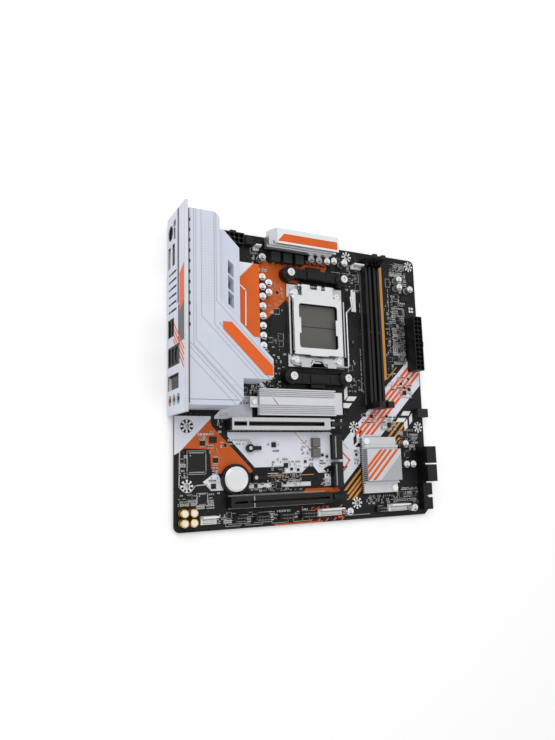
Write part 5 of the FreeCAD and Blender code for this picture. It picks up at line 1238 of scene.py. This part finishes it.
@dataclass
class Capacitors:
    """Round capacitor cans on moulded feet, with scored and marked tops."""

    steps: int = 28

    def row(self, node: str, kit: Kit) -> None:
        """Stand turned cans in for a node's plain ones.

        Args:
            node: The CAD node with the cans.
            kit: The can's finish.
        """
        spots = []
        for low, high in solids(node):
            centre = (low + high) / 2
            spots.append(((centre.x, centre.y, 0.0), 0.0,
                          ((high.x - low.x) / 6.6, (high.y - low.y) / 6.6, high.z / 8.6)))
        can = Shape().lathe(
            [(0, 0.95), (2.75, 0.95), (3.1, 1.2), (3.1, 1.7), (2.9, 1.95), (2.9, 2.15),
             (3.15, 2.45), (3.15, 8.05), (3.08, 8.35), (2.8, 8.5), (2.6, 8.46), (0, 8.46)],
            (0, 0, 0), self.steps)
        REPEAT.strew(can, kit, spots, f"{node}_cans", replaces=(node,))
        foot = Shape().prism([(-3.2, -3.3), (2.1, -3.3), (3.3, -2.1), (3.3, 2.1), (2.1, 3.3),
                              (-3.2, 3.3)], 0.05, 1.0).bevel(0.12, 1)
        REPEAT.strew(foot, Kit.PLASTIC, spots, f"{node}_feet")
        mark = Shape().prism(
            [(2.55 * math.cos(math.radians(a)), 2.55 * math.sin(math.radians(a)))
             for a in range(-150, -29, 15)], 8.44, 8.52)
        for angle in (0, 60, 120):
            turn = Matrix.Rotation(math.radians(angle), 4, "Z")
            mark.prism(rect(-1.5, -0.06, 1.5, 0.06), 8.44, 8.49,
                       turn)
        REPEAT.strew(mark, Kit.CAN_PRINT, spots, f"{node}_marks")
        lead = Shape().box((-3.2, -0.45, 0), (-2.4, 0.45, 0.3))
        lead.box((2.4, -0.45, 0), (3.2, 0.45, 0.3))
        REPEAT.strew(lead, Kit.TIN, spots, f"{node}_leads")

    def build(self) -> None:
        """Finish both kinds of can."""
        self.row("capacitor_cans", Kit.CAN)
        self.row("audio_capacitors", Kit.CAN_GOLD)
        tops = Shape()
        for low, high in solids("audio_capacitors"):
            tops.prism(circle((low.x + high.x) / 2, (low.y + high.y) / 2,
                              (high.x - low.x) * 0.36), high.z - 0.16, high.z - 0.02)
        tops.piece("audio_can_tops", Kit.CAN_TOP)


@dataclass
class Socket:
    """The processor socket with its load plate, lever and cooler brackets."""

    centre: Point = (128.2, 166.8)
    floor: float = 2.6
    half: float = 17.6
    pitch: float = 1.0
    window: Point = (19.4, 19.5)
    window_round: float = 2.4
    sheet: Point = (6.41, 7.602)

    def build(self) -> None:
        """Finish the socket and fill it with contacts."""
        x, y = self.centre
        soften("cpu_socket_body", Kit.PLASTIC, 0.12)
        soften("cpu_socket_frame", Kit.STEEL, 0.12)
        plate = Shape.of_node("socket_load_plate").bevel(0.16)
        for sx, sy in rect(1, 1, -1, -1):
            self.corner(plate, sx, sy)
        plate.piece("load_plate_shape", Kit.POLISHED, "load_plate", ("socket_load_plate",))
        soften("socket_lever", Kit.STEEL, 0.1)
        soften("socket_screws", Kit.POLISHED, 0.14)
        for node, line, side in (("cooler_bracket_top", y + 45, 1),
                                 ("cooler_bracket_bottom", y - 45, -1)):
            bracket = Shape.of_node(node).round(1.5, (60, 100, -1), (200, 230, 20))
            bracket.bevel(0.3).piece(f"{node}_shape", Kit.PLASTIC, replaces=(node,))
            self.relief(node, line, side)
        soften("cooler_bracket_screws", Kit.POLISHED, 0.14)
        floor = Print("cpu_socket_body", Side.UP, self.floor)
        h = self.half + 1.8
        halves = [rect(x - h, y - h, x + h, y - 0.3),
                  rect(x - h, y + 0.3, x + h, y + h)]
        floor.shape(halves, 0.5).piece("contact_carrier", Kit.FIELD)
        contact = Shape().prism(rect(-0.22, -0.1, 0.22, 0.1),
                                0.0, 0.16)
        contact.prism(rect(0.05, -0.09, 0.34, 0.09), 0.14, 0.26)
        count = int(2 * self.half / self.pitch) + 1
        start = -(count - 1) / 2 * self.pitch
        at = (x + start, y + start, self.floor + 0.48)
        field = REPEAT.grid(contact, Kit.SPRING, at, (count, count), (self.pitch, self.pitch))
        Shape().add(field).piece("socket_contacts", Kit.SPRING)

    def corner(self, plate: Shape, sx: int, sy: int) -> None:
        """Round one inner corner of the load plate's window.

        Args:
            plate: The plate's shape.
            sx: Side of the corner along X.
            sy: Side of the corner along Y.
        """
        cx = self.centre[0] + sx * self.window[0]
        cy = self.centre[1] + sy * self.window[1]
        r = self.window_round
        outline = [(cx + 0.4 * sx, cy + 0.4 * sy), (cx - r * sx, cy + 0.4 * sy)]
        for i in range(7):
            a = math.radians(90 - 15 * i)
            outline.append((cx - r * sx + r * sx * math.cos(a),
                            cy - r * sy + r * sy * math.sin(a)))
        outline.append((cx + 0.4 * sx, cy - r * sy))
        low, high = self.sheet
        plate.prism(outline[::-1] if sx * sy > 0 else outline, low, high)

    def relief(self, node: str, line: float, side: int) -> None:
        """Raise the middle block and the ribs of a cooler bracket.

        Args:
            node: The bracket's node.
            line: Its screw line.
            side: 1 above the socket, -1 below it.
        """
        x, top = self.centre[0] - 1.2, 6.5
        near, far = sorted((line - 2.6 * side, line + 4.8 * side))
        pads = Shape().box((x - 8.5, near, top), (x + 8.5, far, top + 1.3))
        for middle in (x - 14, x + 14):
            pads.box((middle - 2.6, near, top), (middle + 2.6, far, top + 0.6))
        pads.bevel(0.4).piece(f"{node}_relief", Kit.PLASTIC)


@dataclass
class Slots:
    """Memory and expansion slots with their latches and contacts."""

    pitch: float = 0.85
    lower_top: float = 10.7

    def build(self) -> None:
        """Finish the slots and line them with contacts."""
        for node in ("memory_slot_a", "memory_slot_b", "memory_latch_a", "memory_latch_b",
                     "pcie_slot_main", "pcie_slot_lower", "pcie_latch_main",
                     "pcie_latch_lower"):
            soften(node, Kit.SLOT_PLASTIC, 0.14)
        soften("pcie_slot_armour", Kit.STEEL, 0.2)
        rows = Shape()
        for low, high in solids("slot_contacts"):
            size, along = high - low, 0
            if size.y > size.x:
                along = 1
            length, deep = size[along], size.z
            count = max(1, int(length / self.pitch))
            start = (low + high) / 2
            start[along] = low[along] + (length - (count - 1) * self.pitch) / 2
            start.z = low.z
            half = min(size[1 - along] / 2, 0.14)
            corners = [0.19, half] if along == 0 else [half, 0.19]
            tooth = Shape().box((-corners[0], -corners[1], 0), (corners[0], corners[1], deep))
            cells = (count, 1) if along == 0 else (1, count)
            rows.add(REPEAT.grid(tooth, Kit.DARK_GOLD, tuple(start), cells,
                                 (self.pitch, self.pitch)))
        ticks = Print("pcie_slot_lower", Side.UP, self.lower_top)
        ticks.shape([rect(x, 15, x + 0.7, 26) for x in (61.6, 136.8)],
                    0.06).piece("slot_ticks", Kit.SLOT_MARK)
        rows.piece("slot_contact_rows", Kit.DARK_GOLD, replaces=("slot_contacts",))
        foot = Shape().box((-0.22, -0.7, 0.0), (0.22, 0.7, 0.28)).bevel(0.05, 1)
        feet = Shape().add(REPEAT.grid(foot, Kit.TIN, (44.5, 76.4, 0), (88, 2), (1.0, 10.4)))
        feet.add(REPEAT.grid(foot, Kit.TIN, (44.5, 15.9, 0), (88, 2), (1.0, 9.5)))
        feet.piece("slot_feet", Kit.TIN)
        tooth = Shape().box((-0.65, -1.0, 0.05), (0.65, 1.0, 1.8)).bevel(0.12, 1)
        teeth = Shape().add(REPEAT.grid(tooth, Kit.SLOT_PLASTIC, (45.2, 76.4, 0), (34, 1),
                                        (2.6, 1)))
        teeth.piece("slot_teeth", Kit.SLOT_PLASTIC)
        foot = Shape().box((-0.6, -0.2, 0.0), (0.6, 0.2, 0.26)).bevel(0.05, 1)
        feet = Shape()
        for x in (183.0, 192.4):
            feet.add(REPEAT.grid(foot, Kit.TIN, (x - 3.55, 100.5, 0), (2, 154), (7.1, 0.85)))
        feet.piece("memory_feet", Kit.TIN)


@dataclass
class Storage:
    """Drive sockets, standoffs, latches, cooling plate and coin cell."""

    def build(self) -> None:
        """Finish the drive places and the cell."""
        for node, kit, width in (
                ("m2_heatsink", Kit.SINK_METAL, 0.25), ("m2_pad", Kit.SILICONE, 0.1),
                ("m2_heatsink_screw", Kit.POLISHED, 0.12), ("m2_latch_upper", Kit.PLASTIC, 0.2),
                ("m2_latch_lower", Kit.PLASTIC, 0.2), ("m2_sockets", Kit.SLOT_PLASTIC, 0.12),
                ("m2_standoffs", Kit.STEEL, 0.12), ("battery_holder", Kit.PLASTIC, 0.2)):
            soften(node, kit, width)
        top = Print("m2_heatsink", Side.UP, 10.0)
        line = top.shape(stroke([(80.7, 102.8), (85.6, 96.4)], 0.6), 0.06)
        line.piece("drive_plate_line", Kit.RED_LINE, "drive_cooling")
        foot = Shape().box((-0.5, -0.12, 0.0), (0.5, 0.12, 0.22))
        feet = Shape()
        for x, y in ((148.5, 62.5), (148.5, 39.0), (152.3, 99.6)):
            feet.add(REPEAT.grid(foot, Kit.TIN, (x, y - 9.25, 0), (1, 38), (1, 0.5)))
        blade = Shape().box((-0.55, -0.11, -0.5), (0.55, 0.11, 0.04))
        for x, y, z in ((141.4, 62.5, 6.4), (141.4, 39.0, 6.4)):
            feet.add(REPEAT.grid(blade, Kit.TIN, (x, y - 8.75, z), (1, 36), (1, 0.5)))
        feet.piece("drive_socket_feet", Kit.TIN)
        low, high = solids("coin_cell")[0]
        centre = (low + high) / 2
        cell = Shape().lathe(
            [(0, 0), (8.2, 0), (8.5, 0.35), (9.5, 0.45), (9.96, 0.9), (10, 1.2), (10, 2.8),
             (9.9, 3.05), (9.6, 3.18), (8.6, 3.2), (8.5, 3.15), (8.3, 3.15), (8.2, 3.2),
             (0, 3.2)], (centre.x, centre.y, low.z), 56)
        cell.piece("coin_cell_shape", Kit.POLISHED, "battery", ("coin_cell",))


@dataclass
class Chipset:
    """The chipset's heatsink, its spring pins and the board's larger packages."""

    top: float = 12.0
    stripes: tuple = (125.6, 130.3, 136.4, 142.8)

    def build(self) -> None:
        """Finish the heatsink and the packages."""
        soften("chipset_heatsink", Kit.SINK_SATIN, 0.25)
        soften("chipset_push_pins", Kit.WHITE_PLASTIC, 0.15)
        soften("ic_packages", Kit.RESIN, 0.12)
        face = Print("chipset_heatsink", Side.UP, self.top)
        face.shape([[(183.4, 32.8), (206.3, 32.8), (206.3, 55.7)]], 0.04).piece(
            "chipset_shade", Kit.SINK_SHADE)
        face.shape([slant_bar(-c, 2.3, 33.2, 59.6) for c in self.stripes], 0.06).piece(
            "chipset_stripes", Kit.SINK_ORANGE)
        rib = Shape().box((-0.16, -0.45, 0), (0.3, 0.45, 1.0)).bevel(0.05, 1)
        ribs = [((170.04, 23.4 + 1.75 * i, 0.8), 0.0, (1, 1, 3.6)) for i in range(27)]
        ribs += [((170.04, 33.2 + 1.75 * i, 5.4), 0.0, (1, 1, 5.8)) for i in range(16)]
        REPEAT.strew(rib, Kit.SINK_DARK, ribs, "chipset_ribs")
        iron = Shape()
        for x, y in ((124, 66.5), (124, 57.8)):
            iron.box((x - 3.86, y - 3.86, 0.3), (x + 3.86, y + 3.86, 3.46))
        iron.bevel(0.5).piece("board_chokes", Kit.IRON)
        leads = Shape()
        for x, y, half, count, pitch in ((18, 52, 7.0, 30, 0.42), (22.5, 24, 3.5, 12, 0.5),
                                         (223.04, 55, 2.5, 8, 0.5)):
            leads.add(self.quad(x, y, half, count, pitch))
        foot = self.lead()
        for x in (223.6, 236.1):
            turn = 180 if x < 229 else 0
            leads.add(REPEAT.grid(foot, Kit.TIN, (x + (0.9 if turn else -1.1), 201.9, 0),
                                  (1, 4), (1, 1.27), turn=turn))
        leads.piece("package_leads", Kit.TIN)
        dots = Shape()
        for x, y, half, z in ((18, 52, 5.4, 1.4), (22.5, 24, 2.6, 1.0)):
            dots.prism(circle(x - half, y + half, 0.5, 14), z - 0.02, z + 0.03)
        dots.piece("package_dots", Kit.GREY_SILK)

    @staticmethod
    def lead() -> Shape:
        """Return one bent lead that points along +X."""
        lead = Shape().box((-0.3, -0.1, 0.45), (0.35, 0.1, 0.6))
        lead.box((0.25, -0.1, 0.0), (0.4, 0.1, 0.6))
        return lead.box((0.3, -0.1, 0.0), (1.0, 0.1, 0.14))

    def quad(self, x: float, y: float, half: float, count: int,
             pitch: float) -> bpy.types.Mesh:
        """Set leads along four sides of a square package.

        Args:
            x: Centre of the package.
            y: Centre of the package.
            half: Half its side.
            count: Leads on each side.
            pitch: Step between leads.

        Returns:
            All the leads.
        """
        spots, span = [], (count - 1) * pitch / 2
        for i in range(count):
            along = i * pitch - span
            spots += [((x + half, y + along, 0), 0, (1, 1, 1)),
                      ((x - half, y + along, 0), 180, (1, 1, 1)),
                      ((x + along, y + half, 0), 90, (1, 1, 1)),
                      ((x + along, y - half, 0), -90, (1, 1, 1))]
        return REPEAT.scatter(self.lead(), Kit.TIN, spots)


@dataclass
class Connectors:
    """Power, drive, front panel and fan connectors with their pins."""

    def build(self) -> None:
        """Finish the housings and pins."""
        for node, kit in (("atx_power_connector", Kit.PLASTIC),
                          ("cpu_power_connector", Kit.PLASTIC),
                          ("front_usb3_header", Kit.PLASTIC), ("pin_headers", Kit.PLASTIC),
                          ("sata_ports", Kit.PORT_PLASTIC),
                          ("white_headers", Kit.WHITE_PLASTIC)):
            soften(node, kit, 0.12)
        soften("connector_pins", Kit.TIN, 0.14, 1)
        soften("front_usb_c_header", Kit.PORT_STEEL, 0.15)


@dataclass
class RearPorts:
    """The connectors behind the rear plate."""

    face: float = -4.5

    def build(self) -> None:
        """Finish the ports and ring the sound jacks in colour."""
        for node, kit in (("usb_stack", Kit.PORT_STEEL), ("lan_usb_stack", Kit.PORT_STEEL),
                          ("display_ports", Kit.PORT_STEEL), ("keyboard_port", Kit.PORT_PLASTIC),
                          ("audio_jacks", Kit.PORT_PLASTIC), ("flash_button", Kit.BUTTON),
                          ("antenna_socket", Kit.DEEP_PLASTIC),
                          ("antenna_contacts", Kit.GOLD)):
            soften(node, kit, 0.1)
        for name, middle, kit in (("usb", 154.4, Kit.TONGUE_BLUE),
                                  ("lan_usb", 131.8, Kit.TONGUE_RED)):
            caps, pads = Shape(), Shape()
            for i in range(2):
                low = 1.2 + 8.2 * i
                caps.box((-3.3, middle - 5.35, low + 2.65), (5.5, middle + 5.35, low + 4.75))
                for k in range(4):
                    y = middle - 3.75 + 2.5 * k
                    pads.box((-3.1, y - 0.5, low + 2.5), (2.5, y + 0.5, low + 2.7))
            caps.bevel(0.2).piece(f"{name}_tongue_caps", kit)
            pads.piece(f"{name}_tongue_pads", Kit.GOLD)
        wires = Shape()
        for k in range(8):
            y = 131.8 - 3.57 + 1.02 * k
            wires.box((-3.4, y - 0.2, 24.6), (1.5, y + 0.2, 24.9))
        wires.piece("lan_wires", Kit.GOLD)
        for name, y, kit in (("lan_lamp_left", 125.2, Kit.GREEN),
                             ("lan_lamp_right", 136.0, Kit.AMBER)):
            lamp = Shape().box((-4.62, y, 27.0), (-4.3, y + 2.4, 28.4))
            lamp.bevel(0.08, 1).piece(name, kit)
        turn = Matrix.Rotation(math.radians(-90), 4, "Y")
        for z, kit in ((5.6, Kit.PINK), (15.9, Kit.GREEN), (26.2, Kit.BLUE)):
            ring = Shape().lathe([(1.85, -1.0), (3.5, -1.0), (3.6, 0.25), (3.4, 0.4),
                                  (2.1, 0.4), (1.85, 0.2), (1.85, -1.0)],
                                 (self.face, 98.6, z), 32, turn)
            ring.piece(f"jack_ring_{kit.name.lower()}", kit)


@dataclass
class Underside:
    """The backplate, its screws and the soldered tails."""

    rows: tuple = ((44.5, 79.0, 42, 3, 2.0, 2.6), (44.5, 18.1, 42, 3, 2.0, 2.6),
                   (181.4, 99.0, 2, 72, 3.2, 1.85), (190.8, 99.0, 2, 72, 3.2, 1.85),
                   (231.9, 135.3, 2, 12, 4.2, 4.2), (40.7, 232.2, 4, 2, 4.2, 4.2),
                   (44.2, 3.5, 4, 2, 2.54, 2.54), (60.0, 3.5, 5, 2, 2.54, 2.54),
                   (83.0, 3.5, 5, 2, 2.54, 2.54), (103.0, 3.5, 5, 2, 2.54, 2.54),
                   (15.5, 3.7, 5, 2, 2.54, 2.54), (114.2, 3.7, 9, 2, 2.54, 2.54),
                   (188.1, 3.7, 8, 2, 2.54, 2.54), (236.0, 6.5, 2, 10, 2.0, 2.0),
                   (1.0, 149.0, 2, 6, 2.0, 2.0), (1.0, 126.0, 4, 6, 2.0, 2.3),
                   (1.0, 204.0, 3, 9, 1.6, 1.7), (1.0, 226.5, 3, 3, 2.6, 3.4),
                   (235.5, 32.0, 2, 7, 3.0, 1.27), (235.5, 48.5, 2, 7, 3.0, 1.27))

    def build(self) -> None:
        """Finish the steel and set the solder joints."""
        soften("cpu_backplate", Kit.BACK_STEEL, 0.15)
        soften("underside_screws", Kit.POLISHED, 0.12)
        joint = Shape().lathe([(0, -0.95), (0.22, -0.9), (0.3, -0.55), (0.7, -0.03),
                               (0.72, 0.02), (0, 0.02)], (0, 0, 0), 8)
        joints = Shape()
        for x, y, columns, lines, dx, dy in self.rows:
            joints.add(REPEAT.grid(joint, Kit.TIN, (x, y, BOARD_LOW), (columns, lines),
                                   (dx, dy)))
        joints.piece("solder_joints", Kit.TIN)


@dataclass
class SurfaceParts:
    """Small soldered parts strewn in the clear patches of the board."""

    patches: tuple = (
        (214, 140, 229, 218, 420), (205, 128, 214, 200, 40), (20, 64, 31, 74, 60),
        (31, 44, 37, 58, 30), (45, 66, 66, 74, 50), (79, 60, 90, 71, 50),
        (80, 28, 110, 54, 170), (111, 46, 122, 74, 70), (174, 84, 190, 93, 90),
        (195, 78, 212, 92, 80), (164, 46, 170, 60, 20), (214, 60, 237, 78, 130),
        (3, 18, 32, 29, 150), (216, 108, 233, 128, 130), (208, 12, 232, 26, 110),
        (150, 112, 178, 124, 30), (150, 206, 178, 236, 90), (28, 60, 44, 78, 20),
        (69, 112, 98, 160, 90), (104, 212, 146, 223, 60), (68, 214, 84, 228, 40),
        (28, 28, 36, 43, 20), (84, 6, 118, 14, 80), (128, 46, 150, 58, 60),
        (34, 6, 90, 14, 110), (214, 218, 233, 238, 110), (198, 100, 212, 122, 20),
        (175, 8, 208, 20, 60), (148, 60, 152, 96, 24), (130, 30, 152, 44, 60),
        (60, 28, 84, 38, 60), (4, 36, 12, 58, 30), (36, 78, 46, 90, 20),
        (48, 214, 74, 229, 110), (140, 160, 168, 164, 10), (43, 99, 64, 112, 80),
        (64, 100, 78, 118, 40), (86, 186, 98, 208, 24), (160, 128, 170, 158, 10),
        (80, 176, 98, 186, 10))
    seed: int = 11
    sizes: tuple = ((1.0, 0.5, 0.4), (1.6, 0.8, 0.6), (1.6, 0.8, 0.6), (2.0, 1.25, 0.8))
    tan_share: float = 0.42
    switch_chance: float = 0.12
    turn_chance: float = 0.25
    bracket_share: float = 0.6

    def __post_init__(self) -> None:
        """Note what already stands on the board."""
        self.taken: list[tuple[float, float, float, float]] = []
        for node, item in frame["nodes"].items():
            if node in ("pcb", "io_cover", "cpu_backplate", "underside_screws",
                        "slot_contacts", "socket_load_plate", "cover_badge"):
                continue
            for low, high in solids(node):
                if high.z > -0.5 and low.z < 3.0:
                    self.taken.append((low.x - 0.5, low.y - 0.5, high.x + 0.5, high.y + 0.5))
        for x, y in Artwork().holes:
            self.taken.append((x - 5.6, y - 5.6, x + 5.6, y + 5.6))
        self.taken += [(x - 12.6, y - 13, x + 4, y + 13) for x, y in ((74.5, 51.5), (77, 50))]
        self.taken += [(40, 70, 136, 78), (201, 120, 205, 237), (40, 13, 140, 27)]
        self.rng = random.Random(self.seed)

    def free(self, box: tuple[float, float, float, float]) -> bool:
        """Tell whether a flat box is clear, and take it if so."""
        for a in self.taken:
            if a[0] < box[2] and a[2] > box[0] and a[1] < box[3] and a[3] > box[1]:
                return False
        self.taken.append(box)
        return True

    def fill(self, x0: float, y0: float, x1: float, y1: float, count: int,
             tan: list, black: list) -> None:
        """Fill a patch with rows of parts.

        Args:
            x0: Its rear side.
            y0: Its side toward the slots.
            x1: Its front side.
            y1: Its side toward the processor.
            count: How many parts it would hold if all places were free.
            tan: Takes the capacitors.
            black: Takes the resistors.
        """
        share = min(0.9, count * 2.7 / ((x1 - x0) * (y1 - y0)))
        turn, y = self.rng.choice((0, 90)), y0
        while y < y1:
            length, wide, tall = self.rng.choice(self.sizes)
            dx, dy = (length, wide) if turn == 0 else (wide, length)
            x = x0 + self.rng.random()
            kind = self.rng.random() < self.tan_share
            while x < x1:
                box = (x - dx / 2 - 0.2, y - dy / 2 - 0.2, x + dx / 2 + 0.2, y + dy / 2 + 0.2)
                if self.rng.random() < share and self.free(box):
                    (tan if kind else black).append(((x, y, 0.0), turn, (length, wide, tall)))
                if self.rng.random() < self.switch_chance:
                    kind = not kind
                    x += dx * 0.8
                x += dx + 0.45
            y += dy + 0.5
            if self.rng.random() < self.turn_chance:
                turn = 90 - turn
                y += 0.6

    def build(self) -> None:
        """Strew the parts and finish them."""
        tan, black, chips, silk = [], [], [], []
        for x0, y0, x1, y1, count in self.patches:
            for _ in range(max(1, count // 14)):
                size = self.rng.choice((2.2, 3.0, 4.0))
                x, y = self.rng.uniform(x0 + 2, x1 - 2), self.rng.uniform(y0 + 2, y1 - 2)
                reach = size / 2 + 0.8
                if self.free((x - reach, y - reach, x + reach, y + reach)):
                    chips.append(((x, y, 0.0), self.rng.choice((0, 90)), (size, size, 0.9)))
                    silk.append((x, y, reach))
            self.fill(x0, y0, x1, y1, count, tan, black)
        ends = tan + black
        core = Shape().box((-0.34, -0.5, 0.02), (0.34, 0.5, 1.0))
        REPEAT.strew(core, Kit.CERAMIC, tan, "chip_capacitors")
        REPEAT.strew(core, Kit.RESISTOR, black, "chip_resistors")
        caps = Shape().box((-0.52, -0.52, 0.0), (-0.3, 0.52, 1.02))
        caps.box((0.3, -0.52, 0.0), (0.52, 0.52, 1.02))
        REPEAT.strew(caps, Kit.TIN, ends, "chip_ends")
        bracket = Shape()
        for side in (-1, 1):
            bracket.box((side * 0.66 - 0.05, -0.66, 0.0), (side * 0.66 + 0.05, 0.66, 0.13))
            bracket.box((-0.66, side * 0.72 - 0.07, 0.0), (0.66, side * 0.72 + 0.07, 0.13))
        marks = [(spot[0], spot[1], (*spot[2][:2], 1.0)) for spot in ends
                 if self.rng.random() < self.bracket_share]
        REPEAT.strew(bracket, Kit.GREY_SILK, marks, "part_brackets")
        block = Shape().box((-0.5, -0.5, 0.15), (0.5, 0.5, 1.0)).bevel(0.03, 1)
        REPEAT.strew(block, Kit.RESIN, chips, "small_packages")
        legs = Shape()
        for i in (-1, 0, 1):
            for side in (-1, 1):
                x = side * 0.58
                legs.box((x - 0.1, i * 0.32 - 0.06, 0.0), (x + 0.1, i * 0.32 + 0.06, 0.3))
        REPEAT.strew(legs, Kit.TIN, chips, "small_package_legs")
        frame_lines = []
        for x, y, reach in silk:
            frame_lines += stroke(rect(x - reach, y - reach, x + reach, y + reach), 0.18)
        board = Print("pcb", Side.UP, 0.0)
        board.shape(frame_lines, OUTLINE_FILM).piece("part_outlines", Kit.GREY_SILK)
        LOG.info("%d small parts", len(ends))


@dataclass
class Studio:
    """The pale floor, soft light and camera."""

    place: Place = (-0.14654, -0.02943, 0.44565)
    axes: tuple = ((0.89214, -0.02551, 0.45103), (-0.04661, 0.98788, 0.14806),
                   (-0.44934, -0.15311, 0.88014))
    lens: float = 29.0
    floor: Colour = (255, 255, 255)
    lamps: tuple = (((0.55, 0.19, 0.88), 0.9, 0.7), ((-0.25, 0.5, 0.8), 0.7, 3.4))

    def build(self) -> None:
        """Set the scene up around the mainboard."""
        mesh = bpy.data.meshes.new("floor")
        mesh.from_pydata([(-4, -4, -0.002), (4, -4, -0.002), (4, 4, -0.002), (-4, 4, -0.002)],
                         [], [(0, 1, 2, 3)])
        finish = Finish("floor_paper", "", self.floor, 0.9, mottle=0.01, cloud=3.0)
        paper = finish.material()
        shader = next(n for n in paper.node_tree.nodes if n.type == "BSDF_PRINCIPLED")
        shader.inputs["Emission Color"].default_value = (1.0, 1.0, 1.0, 1.0)
        shader.inputs["Emission Strength"].default_value = 0.12
        mesh.materials.append(paper)
        floor = bpy.data.objects.new("floor", mesh)
        bpy.context.scene.collection.objects.link(floor)
        world = bpy.data.worlds.new("soft_light")
        world.use_nodes = True
        back = world.node_tree.nodes["Background"]
        back.inputs["Color"].default_value = (1.0, 1.0, 1.0, 1.0)
        back.inputs["Strength"].default_value = 0.68
        bpy.context.scene.world = world
        for i, (place, size, power) in enumerate(self.lamps):
            lamp = bpy.data.lights.new(f"lamp_{i}", "AREA")
            lamp.size, lamp.energy = size, power
            item = bpy.data.objects.new(f"lamp_{i}", lamp)
            item.location = place
            item.rotation_euler = (-Vector(place)).to_track_quat("-Z", "Y").to_euler()
            bpy.context.scene.collection.objects.link(item)
        camera = bpy.data.cameras.new("camera")
        camera.lens, camera.clip_start = self.lens, 0.01
        item = bpy.data.objects.new("camera", camera)
        rows = [(*(axis[i] for axis in self.axes), self.place[i]) for i in range(3)]
        item.matrix_world = Matrix((*rows, (0.0, 0.0, 0.0, 1.0)))
        bpy.context.scene.collection.objects.link(item)
        bpy.context.scene.camera = item
        bpy.context.scene.view_settings.view_transform = "Standard"


def main() -> None:
    """Build every sub-assembly in turn."""
    logging.basicConfig(level=logging.INFO, format="%(name)s: %(message)s")
    Board(Artwork()).build()
    for part in (Cover(), PowerStage(), Capacitors(), Socket(), Slots(), Storage(),
                 Chipset(), Connectors(), RearPorts(), Underside(), SurfaceParts(),
                 Studio()):
        LOG.info("building %s", type(part).__name__)
        part.build()


if __name__ == "__main__":
    main()
